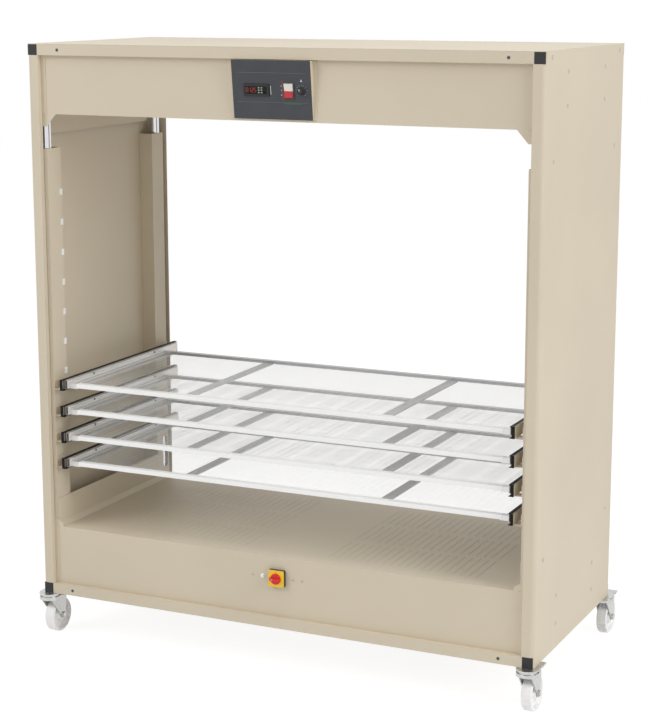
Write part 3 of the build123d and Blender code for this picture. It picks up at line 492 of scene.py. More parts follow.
class Finishes:
    """Every finish that pieces share, made once."""

    def __init__(self) -> None:
        """Build all the materials."""
        pressed = Pattern((160.0, 160.0, 160.0), 3.0)
        turned = Pattern((300.0, 300.0, 300.0), 3.0)
        finned = Pattern((30.0, 300.0, 300.0), 3.0)
        self.beige = PowderCoat("beige_powder_coat", paint(214, 202, 180)).build()
        self.fan = PowderCoat("fan_black", paint(48, 48, 50), 0.5).build()
        self.zinc = RolledZinc("slide_zinc", paint(226, 221, 214), metal=0.55).build()
        self.pale_zinc = RolledZinc("strip_zinc", paint(240, 238, 233), metal=0.3).build()
        self.pressed_zinc = RolledZinc(
            "castor_zinc", paint(200, 200, 198), 0.3, wear=pressed
        ).build()
        self.screw = RolledZinc(
            "screw_zinc", paint(196, 186, 172), metal=0.4, wear=turned
        ).build()
        self.dark_screw = RolledZinc("dark_screw", paint(92, 92, 96), 0.4, wear=turned).build()
        self.fins = RolledZinc("heater_fins", paint(205, 207, 208), wear=finned).build()
        self.chrome = Chrome("chromed_tube", paint(226, 227, 230)).build()
        self.black = Plastic("black_plastic", paint(32, 32, 34), 0.5).build()
        self.gloss_black = Plastic(
            "display_black", paint(24, 24, 26), 0.2, height=0.01 * MM
        ).build()
        self.nylon = Plastic("white_nylon", paint(253, 253, 252), 0.42, waxy=0.25).build()
        self.print_white = Plastic("printed_white", paint(225, 228, 230), 0.5).build()
        self.print_grey = Plastic("printed_grey", paint(104, 108, 113), 0.5).build()
        self.print_green = Plastic("printed_green", paint(62, 112, 66), 0.5).build()
        self.print_red = Plastic("printed_red", paint(176, 44, 44), 0.5).build()
        self.red = Plastic("switch_red", paint(216, 34, 36), 0.3).build()
        self.film = PrintedFilm("fascia_film", paint(58, 61, 66)).build()
        self.thread = WovenThread("net_thread", paint(252, 252, 252)).build()
        self.red_digit, self.grey_digit, self.lens = (
            Glow(name, colour, light=light, power=power).build()
            for name, colour, light, power in (
                ("red_digit", paint(120, 30, 30), paint(190, 46, 44), 0.55),
                ("grey_digit", paint(140, 148, 132), paint(150, 160, 140), 0.25),
                ("frosted_lens", paint(244, 244, 240), paint(255, 250, 240), 0.12),
            )
        )


# ---------------------------------------------------------------------------- mesh work
@dataclass(frozen=True)
class Face:
    """A flat face that small pieces lie on."""

    origin: Vector  # point of the face that its coordinates count from
    right: Vector  # direction of its first coordinate
    up: Vector  # direction of its second coordinate

    @property
    def out(self) -> Vector:
        """Direction that the face looks in."""
        return self.right.cross(self.up)

    def at(self, x: float, y: float, height: float = 0.0) -> Vector:
        """Point in the row frame, at a height above a place on the face."""
        return self.origin + self.right * x + self.up * y + self.out * height


def rectangle(width: float, height: float, x: float = 0.0, y: float = 0.0) -> list[Pair]:
    """Corners of a rectangle around its middle, in order."""
    return [(x + sx * width / 2, y + sy * height / 2) for sx, sy in CORNERS]


def circle(
    centre: Vector, across: Vector, other: Vector, radius: float, steps: int
) -> list[Vector]:
    """Points of a circle.

    Args:
        centre: Its centre.
        across: Direction of its first point.
        other: Direction a quarter turn farther on.
        radius: Its radius.
        steps: Number of points.

    Returns:
        The points in order.
    """
    turns = (2 * math.pi * n / steps for n in range(steps))
    return [
        centre + (across * math.cos(turn) + other * math.sin(turn)) * radius for turn in turns
    ]


class Maker:
    """Collects mesh parts in the row frame and turns them into one named piece."""

    def __init__(self, name: str) -> None:
        """Start a piece of this name."""
        self.name = name
        self.mesh = bmesh.new()

    def loft(self, rings: Iterable[Iterable[Vector]], closed: bool = False) -> None:
        """Join loops of the same length with quads.

        Args:
            rings: Points of each loop.
            closed: Whether the last loop joins the first one, and the two aren't capped.
        """
        loops = [[self.mesh.verts.new(point) for point in ring] for ring in rings]
        pairs = list(zip(loops, loops[1:]))
        if closed:
            pairs.append((loops[-1], loops[0]))
        for first, second in pairs:
            count = len(first)
            for n in range(count):
                after = (n + 1) % count
                self.mesh.faces.new((first[n], first[after], second[after], second[n]))
        if not closed:
            self.mesh.faces.new(loops[0])
            self.mesh.faces.new(loops[-1])

    def bar(self, low: Point, high: Point, ease: float = 0.0) -> None:
        """Add a bar along the axes, with its long edges eased when asked.

        Args:
            low: Lowest corner.
            high: Highest corner.
            ease: Width of the chamfer around its outline in the widest face.
        """
        size = Vector(high) - Vector(low)
        thin = min(range(3), key=lambda n: size[n])
        wide, deep = (n for n in range(3) if n != thin)
        levels = [(-0.5, 0.0), (0.5, 0.0)]
        if ease:
            flank = 0.5 - min(0.49, ease / size[thin])
            levels = [(-0.5, ease), (-flank, 0.0), (flank, 0.0), (0.5, ease)]
        rings = []
        for level, inset in levels:
            ring = []
            for wide_sign, deep_sign in CORNERS:
                point = (Vector(low) + Vector(high)) / 2
                point[thin] += level * size[thin]
                point[wide] += wide_sign * (size[wide] / 2 - inset)
                point[deep] += deep_sign * (size[deep] / 2 - inset)
                ring.append(point)
            rings.append(ring)
        self.loft(rings)

    def turned(self, profile: Sequence[Pair], origin: Vector, axis: Vector, steps: int) -> None:
        """Add a solid of revolution.

        Args:
            profile: Pairs of radius and distance along the axis, from one end to the other.
            origin: Point on the axis at distance 0.
            axis: Direction of the axis.
            steps: Sides of the solid.
        """
        along = axis.normalized()
        across = along.orthogonal().normalized()
        other = along.cross(across)
        self.loft(
            circle(origin + along * distance, across, other, radius, steps)
            for radius, distance in profile
        )

    def plate(self, outline: Sequence[Pair], face: Face, low: float, high: float) -> None:
        """Add a flat plate between two heights above a face, with an outline on the face."""
        self.loft([face.at(x, y, level) for x, y in outline] for level in (low, high))

    def wire(self, path: Sequence[Vector], radius: float, sides: int, closed: bool = False) -> None:
        """Add a round wire along a level path.

        Args:
            path: Points of its centre line.
            radius: Radius of the wire.
            sides: Sides of its section.
            closed: Whether its ends meet.
        """
        count = len(path)
        rings = []
        for n, point in enumerate(path):
            before = path[n - 1] if closed or n else point
            after = path[(n + 1) % count] if closed or n < count - 1 else point
            along = (after - before).normalized()
            across = Z_AXIS.cross(along).normalized()
            rings.append(circle(point, across, along.cross(across), radius, sides))
        self.loft(rings, closed)

    def finish(
        self, material: bpy.types.Material, body: str, smooth: bool = False
    ) -> bpy.types.Object:
        """Turn what was collected into an object that rides on a body.

        Args:
            material: Its finish.
            body: The body that it rides on.
            smooth: Whether faces that meet at a small angle are shaded smooth.

        Returns:
            The new object.
        """
        bmesh.ops.recalc_face_normals(self.mesh, faces=self.mesh.faces[:])
        data = bpy.data.meshes.new(self.name)
        self.mesh.to_mesh(data)
        self.mesh.free()
        piece = bpy.data.objects.new(self.name, data)
        bpy.context.scene.collection.objects.link(piece)
        data.materials.append(material)
        if smooth:
            for polygon in data.polygons:
                polygon.use_smooth = True
            data.set_sharp_from_angle(angle=math.radians(35))
        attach(piece, body)
        LOG.info("%s: %d faces on %s", self.name, len(data.polygons), body)
        return piece


def dress(material: bpy.types.Material, *nodes: str) -> None:
    """Give a finish to solids of the frame.

    Args:
        material: The finish.
        *nodes: Names of the nodes.
    """
    for name in nodes:
        data = frame["nodes"][name].data
        data.materials.clear()
        data.materials.append(material)
        LOG.info("%s: %s", name, material.name)


def joint(name: str) -> tuple[Vector, Vector]:
    """Place and axis of a joint of the frame."""
    found = next(entry for entry in frame["joints"] if entry["name"] == name)
    return Vector(found["pos_m"]), Vector(found["axis"])


def clusters(node: str, reach: float) -> list[tuple[Vector, Vector]]:
    """Boxes around the separate small solids of a node.

    Args:
        node: Name of the node.
        reach: Largest distance inside one solid.

    Returns:
        The lowest and highest corner of each solid.
    """
    groups: list[list[Vector]] = []
    for vertex in frame["nodes"][node].data.vertices:
        near = (group for group in groups if (group[0] - vertex.co).length < reach)
        group = next(near, None)
        if group is None:
            groups.append([vertex.co.copy()])
        else:
            group.append(vertex.co.copy())
    return [
        tuple(Vector(end(p[n] for p in group) for n in range(3)) for end in (min, max))
        for group in groups
    ]


# ---------------------------------------------------------------------------- cabinet
@dataclass
class Cabinet:
    """Sheets, frame and columns of the cabinet."""

    finishes: Finishes
    head_dia: float = 9 * MM  # screw heads in the rails
    side_head_dia: float = 13 * MM  # screw heads in the sides
    head_rise: float = 1.0 * MM
    head_sides: int = 18
    recess_dia: float = 4.2 * MM  # recess of the screws
    stop_length: float = 4.2 * MM  # black stops at the front of the fixed slide members
    web: float = 1.5 * MM  # thickness of the fixed slide members' webs

    def build(self) -> None:
        """Dress the solids and add the screw heads."""
        dress(
            self.finishes.beige,
            "base_frame", "top_frame", "side_panel_left", "side_panel_right", "top_cover",
            "columns_left", "columns_right", "front_apron", "ceiling_panel",
            "lower_front_panel", "base_pan", "perforated_floor", "slide_brackets",
        )
        low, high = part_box("slide_outers")
        # Black on the front stops and on everything inward of the outer webs; zinc on the outer
        # webs only.
        outer = TwoTone(
            "slide_outer_finish", "Y", low.y + self.stop_length, paint(12, 12, 13),
            paint(206, 200, 190), 0.55, 0.5, high.x - self.web, either=False, gloss=0.2,
        ).build()
        dress(outer, "slide_outers")
        dress(self.finishes.chrome, "uprights")
        dress(self.finishes.black, "tube_caps", "cable_gland")
        dress(self.finishes.nylon, "slot_liners")
        self.screws()

    def screws(self) -> None:
        """Round screw heads with a recess, in place of the plain discs."""
        heads = Maker("panel_screws")
        low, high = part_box("side_panel_right")
        recess, rise = self.recess_dia / 2, self.head_rise
        for corner_low, corner_high in clusters("screws", 2.2 * self.head_dia):
            foot = (corner_low + corner_high) / 2
            if abs(foot.x) > high.x:
                radius = self.side_head_dia / 2
                out = X_AXIS * math.copysign(1, foot.x)
                foot.x = math.copysign(high.x, foot.x)
            else:
                radius = self.head_dia / 2
                is_front = foot.y < (low.y + high.y) / 2
                out = -Y_AXIS if is_front else Y_AXIS
                foot.y = low.y if is_front else high.y
            profile = (
                (radius, 0), (radius * 0.97, rise * 0.45), (radius * 0.78, rise * 0.85),
                (recess * 1.15, rise), (recess, rise * 0.9), (recess * 0.92, rise * 0.25),
            )
            heads.turned(profile, foot, out, self.head_sides)
        piece = heads.finish(self.finishes.screw, "cabinet", smooth=True)
        piece.data.materials.append(self.finishes.dark_screw)
        for polygon in piece.data.polygons:
            if abs(polygon.center.x) < high.x - self.head_dia:
                polygon.material_index = 1
        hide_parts("screws")


@dataclass
class Ventilation:
    """Fans and heaters under the perforated floor."""

    finishes: Finishes
    guard_rings: int = 6
    guard_wire: float = 2.2 * MM
    guard_steps: int = 36  # points of a ring
    guard_sides: int = 6  # sides of the wire's section
    guard_arms: int = 4
    guard_reach: float = 1.08  # radius of the outer ring, as a share of the rotor's
    arm_shares: tuple[float, ...] = (0.16, 0.6, 1.16)  # points of an arm, likewise
    slot_columns: int = 20  # slots of the floor over each fan, from left to right
    slot_rows: int = 3  # slots of the floor from front to back
    slot_pitch: float = 23.0 * MM
    slot_row_pitch: float = 178.0 * MM
    slot_width: float = 4.0 * MM
    slot_length: float = 160.0 * MM
    louvre_gap: float = 0.7 * MM  # stretch of a slot's width that its louvre leaves open
    louvre_drop: float = 0.9 * MM  # fall of a louvre from its left edge to its right one
    louvre_metal: float = 0.8 * MM
    louvre_depth: float = 0.05 * MM  # its left edge, below the top of the floor
    sheet: float = 1.5 * MM  # thickness of the floor

    def build(self) -> None:
        """Dress fans and heaters, and add the guards below them and the louvres above."""
        dress(self.finishes.fan, "fan_housings", "fan_rotor_left", "fan_rotor_right")
        dress(self.finishes.fins, "heaters")
        for side in Side:
            self.guard(side)
            self.louvres(side)

    def louvres(self, side: Side) -> None:
        """Sloping louvres lanced out of the floor, one in each slot over a fan.

        Args:
            side: Which of the two fans.
        """
        middle, _ = joint(f"fan_{side.word}_spin")
        low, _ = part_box("perforated_floor")
        top = low.z + self.sheet - self.louvre_depth
        width = self.slot_width - self.louvre_gap
        fall = Vector((width, 0, -self.louvre_drop)).normalized()
        outline = rectangle(width, self.slot_length, width / 2)
        louvres = Maker(f"floor_louvres_{side.word}")
        for column in range(self.slot_columns):
            x = middle.x + (column - (self.slot_columns - 1) / 2) * self.slot_pitch
            for row in range(self.slot_rows):
                y = middle.y + (row - (self.slot_rows - 1) / 2) * self.slot_row_pitch
                slope = Face(Vector((x - self.slot_width / 2, y, top)), fall, Y_AXIS)
                louvres.plate(outline, slope, -self.louvre_metal, 0.0)
        louvres.finish(self.finishes.beige, "cabinet")

    def guard(self, side: Side) -> None:
        """Wire guard across one fan's opening.

        Args:
            side: Which of the two fans.
        """
        low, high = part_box(f"fan_rotor_{side.word}")
        pan_low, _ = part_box("base_pan")
        centre, _ = joint(f"fan_{side.word}_spin")
        centre.z = pan_low.z - self.guard_wire / 2
        reach = (high.y - low.y) / 2
        wire = (self.guard_wire / 2, self.guard_sides)
        guard = Maker(f"fan_guard_{side.word}")
        for ring in range(1, self.guard_rings + 1):
            radius = reach * self.guard_reach * ring / self.guard_rings
            path = circle(centre, X_AXIS, Y_AXIS, radius, self.guard_steps)
            guard.wire(path, *wire, closed=True)
        centre.z -= self.guard_wire
        for arm in range(self.guard_arms):
            turn = (arm + 0.5) * 2 * math.pi / self.guard_arms
            outward = Vector((math.cos(turn), math.sin(turn), 0)) * reach
            guard.wire([centre + outward * share for share in self.arm_shares], *wire)
        guard.finish(self.finishes.zinc, "cabinet", smooth=True)


# ---------------------------------------------------------------------------- trays
@dataclass
class Tray:
    """One sliding tray: frame, woven net and its part of the slides."""

    number: int  # counted from the top
    finishes: Finishes
    thread: float = 0.44 * MM  # width of a thread
    rise: float = 0.16 * MM  # height of a thread
    pitch: float = 4.6 * MM  # of the threads from front to back
    row_pitch: float = 9.0 * MM  # of the threads from left to right
    rib: float = 1.1 * MM  # width of the heavier threads from front to back
    rib_rise: float = 1.5  # height of those, as a share of a thread's
    rib_pitch: float = 23.0 * MM
    dips: Pair = (1.15, 0.9)  # depth of the crossing threads in turn, as a share of a thread's
    inset: float = 0.1 * MM  # of the threads from the net's upper and lower face
    cover: float = 0.3  # share of the net's surface that is thread
    bar_depth: float = 18.36 * MM  # stretch of the frame that counts as its front bar
    bar_half: float = 651.0 * MM  # half the length of the front bar's white stretch
    strip_width: float = 6.0 * MM  # strips along the net's sides
    strip_height: float = 1.6 * MM
    strip_ease: float = 0.6 * MM
    angle_metal: float = 2.0 * MM  # thickness of the frame's side angles
    bead_radius: float = 1.2 * MM  # bead along the side angles
    bead_sides: int = 10
    bead_lift: float = 2.0 * MM  # height of the bead above the angles' middle
    screw_shares: Pair = (0.218, 0.768)  # screws of the inner member, along its length
    screw_lift: float = 8.0 * MM  # their height above its middle
    screw_head: tuple[Pair, ...] = millimetres(
        (3.2, 0), (3.1, 1.0), (2.2, 1.7), (1.0, 1.8), (0.9, 1.0)
    )
    screw_sides: int = 14

    def __post_init__(self) -> None:
        """Work out the names of the tray's own nodes and its body."""
        self.body, self.frame, self.cloth, self.inner, self.middle = (
            f"{word}_{self.number}"
            for word in ("tray", "tray_frame", "tray_net", "slide_inner", "slide_mid")
        )

    def build(self) -> None:
        """Dress the tray, replace its net and add its strips and screws."""
        self.dress_frame()
        self.net()
        self.clamp_strips()
        self.screws()

    def dress_frame(self) -> None:
        """White front bar; zinc rear and cross bars; zinc sides and bar ends painted lighter as a
        highlight; zinc slide members.
        """
        low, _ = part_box(self.frame)
        # The lighter zinc beyond the bar's white stretch is a painted highlight on the sides and
        # bar ends, which are the same zinc as the rear and cross bars.
        bars = TwoTone(
            f"{self.frame}_finish", "Y", low.y + self.bar_depth, paint(253, 253, 252),
            paint(190, 191, 193), 0.4, 0.75, self.bar_half, rim=paint(222, 221, 220),
        ).build()
        dress(bars, self.frame)
        dress(self.finishes.zinc, self.inner, self.middle)

    def net(self) -> None:
        """Woven net: threads both ways, and heavier ones from front to back."""
        low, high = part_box(self.cloth)
        width, length = high.x - low.x, high.y - low.y
        weave = Maker(f"woven_net_{self.number}")
        top, under = high.z - self.inset, low.z + self.inset
        columns = round(width / self.pitch)
        step = (width - self.rib) / columns
        heavy = max(1, round(self.rib_pitch / step))
        for n in range(columns + 1):
            x = low.x + self.rib / 2 + n * step
            half, rise = self.thread / 2, self.rise
            if n % heavy == 0:
                half, rise = self.rib / 2, self.rise * self.rib_rise
            weave.bar((x - half, low.y, top - rise), (x + half, high.y, top))
        rows = round(length / self.row_pitch)
        step, half = (length - self.thread) / rows, self.thread / 2
        for n in range(rows + 1):
            y = low.y + half + n * step
            level = top - self.rise * self.dips[n % 2]
            weave.bar(
                (low.x, y - half, max(under, level - self.rise)), (high.x, y + half, level)
            )
        piece = weave.finish(self.finishes.thread, self.body)
        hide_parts(self.cloth)

    def clamp_strips(self) -> None:
        """Pale strips that clamp the net's sides, and a bead along each side angle."""
        low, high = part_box(self.cloth)
        frame_low, frame_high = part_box(self.frame)
        bead_z = (frame_low.z + frame_high.z) / 2 + self.bead_lift
        strips = Maker(f"net_strips_{self.number}")
        for side in Side:
            inner, outer = sorted(side.value * x for x in (high.x - self.strip_width, high.x))
            strips.bar(
                (inner, low.y, high.z), (outer, high.y, high.z + self.strip_height),
                self.strip_ease,
            )
            bead_x = side.value * (frame_high.x - self.angle_metal)
            path = [Vector((bead_x, y, bead_z)) for y in (low.y, (low.y + high.y) / 2, high.y)]
            strips.wire(path, self.bead_radius, self.bead_sides)
        strips.finish(self.finishes.pale_zinc, self.body, smooth=True)

    def screws(self) -> None:
        """Dark pan-head screws that hold the inner members to the tray's sides."""
        heads = Maker(f"slide_screws_{self.number}")
        low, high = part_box(self.inner)
        z = (low.z + high.z) / 2 + self.screw_lift
        for side in Side:
            x = side.wall(self.frame) - side.value * self.angle_metal
            for share in self.screw_shares:
                foot = Vector((x, low.y + (high.y - low.y) * share, z))
                heads.turned(self.screw_head, foot, -side.value * X_AXIS, self.screw_sides)
        heads.finish(self.finishes.dark_screw, self.body, smooth=True)


# ---------------------------------------------------------------------------- console
# Strokes of a seven-segment figure: the ends of each on a grid of 1 by 2.
STROKES = {
    "top": ((0, 2), (1, 2)), "upper_left": ((0, 1), (0, 2)), "upper_right": ((1, 1), (1, 2)),
    "middle": ((0, 1), (1, 1)), "lower_left": ((0, 0), (0, 1)), "lower_right": ((1, 0), (1, 1)),
    "bottom": ((0, 0), (1, 0)),
}
# Strokes that show in each figure of the display.
FIGURES = (
    tuple(STROKES),
    ("upper_right", "lower_right"),
    ("top", "upper_right", "middle", "lower_left", "bottom"),
    ("top", "upper_left", "middle", "lower_right", "bottom"),
)

# Printed bars of the fascia: colour, node that they stand beside, edge of it (-1 left, 0 middle,
# 1 right), width and height, and place from that edge and from the knob's level, in millimetres.
PRINTED_BARS = (
    ("white", "console_rocker", -1, 2.4, 2.4, -9, 12),
    ("white", "console_rocker", -1, 2.0, 2.0, -9, 0),
    ("white", "console_rocker", -1, 2.4, 2.4, -9, -12),
    ("white", "display_module", 1, 1.6, 24, 4, 0),
    ("grey", "console_plate", 0, 206, 0.9, 0, 46),
    ("grey", "console_plate", 0, 206, 0.9, 0, -32),
    ("green", "console_rocker", 0, 54, 1.8, 10, -34.5),
    ("red", "console_rocker", -1, 1.6, 52, -6, 0),
)


@dataclass
class Console:
    """Control console in the apron: fascia, controller, rocker and knob."""

    finishes: Finishes
    film: float = 0.12 * MM  # thickness of what is printed on the fascia
    glass: float = 3.0 * MM  # height of the display's window above the fascia
    glass_film: float = 0.05 * MM  # thickness of that window
    glass_margin: float = 13.0 * MM  # by which the window is narrower than the controller
    glass_height: float = 21.0 * MM
    figure_left: float = 9.0 * MM  # from the controller's left edge to the first figure
    figure_width: float = 5.2 * MM
    figure_height: float = 11.0 * MM
    figure_gap: float = 2.6 * MM
    rocker_drop: float = 1.0 * MM  # from the rocker's axis to where its halves meet
    stroke: float = 1.15 * MM  # width of a figure's strokes
    mark_size: Pair = (4.6 * MM, 3.4 * MM)  # grey marks beside the figures
    mark_pitch: Pair = (8.4 * MM, 6.4 * MM)
    mark_gap: float = 5.5 * MM  # from the figures to the first marks
    tick_turn: float = 27.0  # degrees from one tick round the knob to the next
    ticks: int = 11
    tick_ends: Pair = (13.5 * MM, 16.5 * MM)  # distances of a tick's ends from the knob's axis
    tick_width: float = 0.7 * MM
    drop: tuple[Pair, ...] = millimetres((-2.6, 24), (2.6, 24), (0, 31))  # mark over the knob
    knob_height: float = 15.2 * MM
    knob_steps: int = 60
    knob_flutes: int = 15
    pointer_width: float = 1.5 * MM
    pointer_shares: Pair = (0.6, 0.36)  # its length and middle, as shares of the radius
    pointer_levels: Pair = (-0.3 * MM, 0.15 * MM)  # under and over the knob's top
    shaft: tuple[Pair, ...] = millimetres((3.0, -15.5), (3.0, 0.4))
    shaft_sides: int = 20

    def __post_init__(self) -> None:
        """Work out the fascia's face from the knob's joint."""
        place, axis = joint("console_knob_turn")
        self.face = Face(place, X_AXIS, axis.normalized().cross(X_AXIS))

    def span(self, node: str) -> Pair:
        """Middle of a node along the fascia, from the knob, and its width."""
        low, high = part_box(node)
        return (low.x + high.x) / 2 - self.face.origin.x, high.x - low.x

    def build(self) -> None:
        """Dress the console and add what is printed and lit on it."""
        dress(self.finishes.beige, "console_housing")
        dress(self.finishes.film, "console_plate")
        dress(self.finishes.gloss_black, "display_module")
        self.rocker()
        self.display()
        self.prints()
        self.knob()

    def rocker(self) -> None:
        """White upper half and red lower half of the rocker."""
        place, _ = joint("console_rocker_tilt")
        halves = TwoTone(
            "rocker_halves", "Z", place.z - self.rocker_drop, paint(196, 52, 56),
            paint(232, 230, 220), 0.28,
        ).build()
        dress(halves, "console_rocker")

    def printed(
        self, name: str, material: bpy.types.Material, outlines: Iterable[Sequence[Pair]],
        low: float = 0.0,
    ) -> None:
        """Print outlines on the console as one thin piece.

        Args:
            name: The piece's name.
            material: Its finish.
            outlines: The outlines, counted from the knob.
            low: Height of the print's underside above the fascia.
        """
        maker = Maker(name)
        for outline in outlines:
            maker.plate(outline, self.face, low, low + self.film)
        maker.finish(material, "cabinet")

    def figure(self, x: float, y: float, strokes: Iterable[str]) -> Iterator[list[Pair]]:
        """Draw one seven-segment figure.

        Args:
            x: Its left edge.
            y: Its lower edge.
            strokes: Names of the strokes that show.

        Returns:
            The outline of each stroke.
        """
        unit_x, unit_y = self.figure_width, self.figure_height / 2
        for name in strokes:
            (x0, y0), (x1, y1) = STROKES[name]
            size = (self.stroke, unit_y - self.stroke)
            if y0 == y1:
                size = (unit_x - self.stroke, self.stroke)
            yield rectangle(*size, x + (x0 + x1) / 2 * unit_x, y + (y0 + y1) / 2 * unit_y)

    def display(self) -> None:
        """Window, red figures and grey marks of the controller."""
        middle, width = self.span("display_module")
        window = Maker("display_window")
        window.plate(
            rectangle(width - self.glass_margin, self.glass_height, middle), self.face,
            self.glass - self.glass_film, self.glass,
        )
        window.finish(self.finishes.gloss_black, "cabinet")
        left = middle - width / 2 + self.figure_left
        pitch = self.figure_width + self.figure_gap
        right = left + len(FIGURES) * pitch + self.mark_gap
        across, upward = self.mark_pitch
        figures = [
            stroke for n, strokes in enumerate(FIGURES)
            for stroke in self.figure(left + n * pitch, -self.figure_height / 2, strokes)
        ]
        marks = [
            rectangle(*self.mark_size, right + column * across, row * upward)
            for column in range(2) for row in (-1, 0, 1)
        ]
        for name, material, outlines in (
            ("red_figures", self.finishes.red_digit, figures),
            ("grey_marks", self.finishes.grey_digit, marks),
        ):
            self.printed(name, material, outlines, self.glass)

    def tick(self, turn: float) -> list[Pair]:
        """Draw a tick round the knob.

        Args:
            turn: Its angle from the upright, in radians.

        Returns:
            Its outline.
        """
        along = Vector((math.sin(turn), math.cos(turn)))
        across = Vector((along.y, -along.x)) * self.tick_width / 2
        inner, outer = (along * reach for reach in self.tick_ends)
        return [inner - across, outer - across, outer + across, inner + across]

    def prints(self) -> None:
        """Dots, ticks, drop and lines on the fascia."""
        outlines: dict[str, list[Sequence[Pair]]] = {}
        for word, node, edge, width, height, x, y in PRINTED_BARS:
            middle, room = self.span(node)
            x = middle + edge * room / 2 + x * MM
            bar = rectangle(width * MM, height * MM, x, y * MM)
            outlines.setdefault(word, []).append(bar)
        first = -self.tick_turn * (self.ticks - 1) / 2
        turns = (math.radians(first + self.tick_turn * n) for n in range(self.ticks))
        outlines["white"] += [self.drop, *(self.tick(turn) for turn in turns)]
        for word, bars in outlines.items():
            material = getattr(self.finishes, f"print_{word}")
            self.printed(f"fascia_{word}_print", material, bars)

    def knob(self) -> None:
        """Fluted knob with a skirt and a white pointer, in place of the plain one."""
        low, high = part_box("console_knob")
        radius = (high.x - low.x) / 2
        top = self.knob_height
        # Share of the radius, depth of the flutes and height of each level.
        levels = (
            (1.0, 0.0, 0.3 * MM), (1.0, 0.0, 2.4 * MM), (0.9, 0.0, 3.2 * MM),
            (0.88, 0.09, 4.0 * MM), (0.82, 0.1, top - 1.6 * MM), (0.76, 0.06, top - 0.5 * MM),
            (0.68, 0.0, top), (0.5, 0.0, top - 0.25 * MM),
        )
        rings = []
        for share, flute, level in levels:
            ring = []
            for n in range(self.knob_steps):
                turn = 2 * math.pi * n / self.knob_steps
                dip = flute * (0.5 + 0.5 * math.cos(turn * self.knob_flutes))
                reach = radius * share * (1 - dip)
                ring.append(self.face.at(reach * math.sin(turn), reach * math.cos(turn), level))
            rings.append(ring)
        knob = Maker("thermostat_knob")
        knob.loft(rings)
        knob.turned(self.shaft, self.face.origin, self.face.out, self.shaft_sides)
        piece = knob.finish(self.finishes.black, "console_knob", smooth=True)
        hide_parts("console_knob")
        pointer = Maker("knob_pointer")
        length, middle = (radius * share for share in self.pointer_shares)
        outline = rectangle(self.pointer_width, length, 0, middle)
        pointer.plate(outline, self.face, *(top + level for level in self.pointer_levels))
        pointer.finish(self.finishes.print_white, "console_knob")


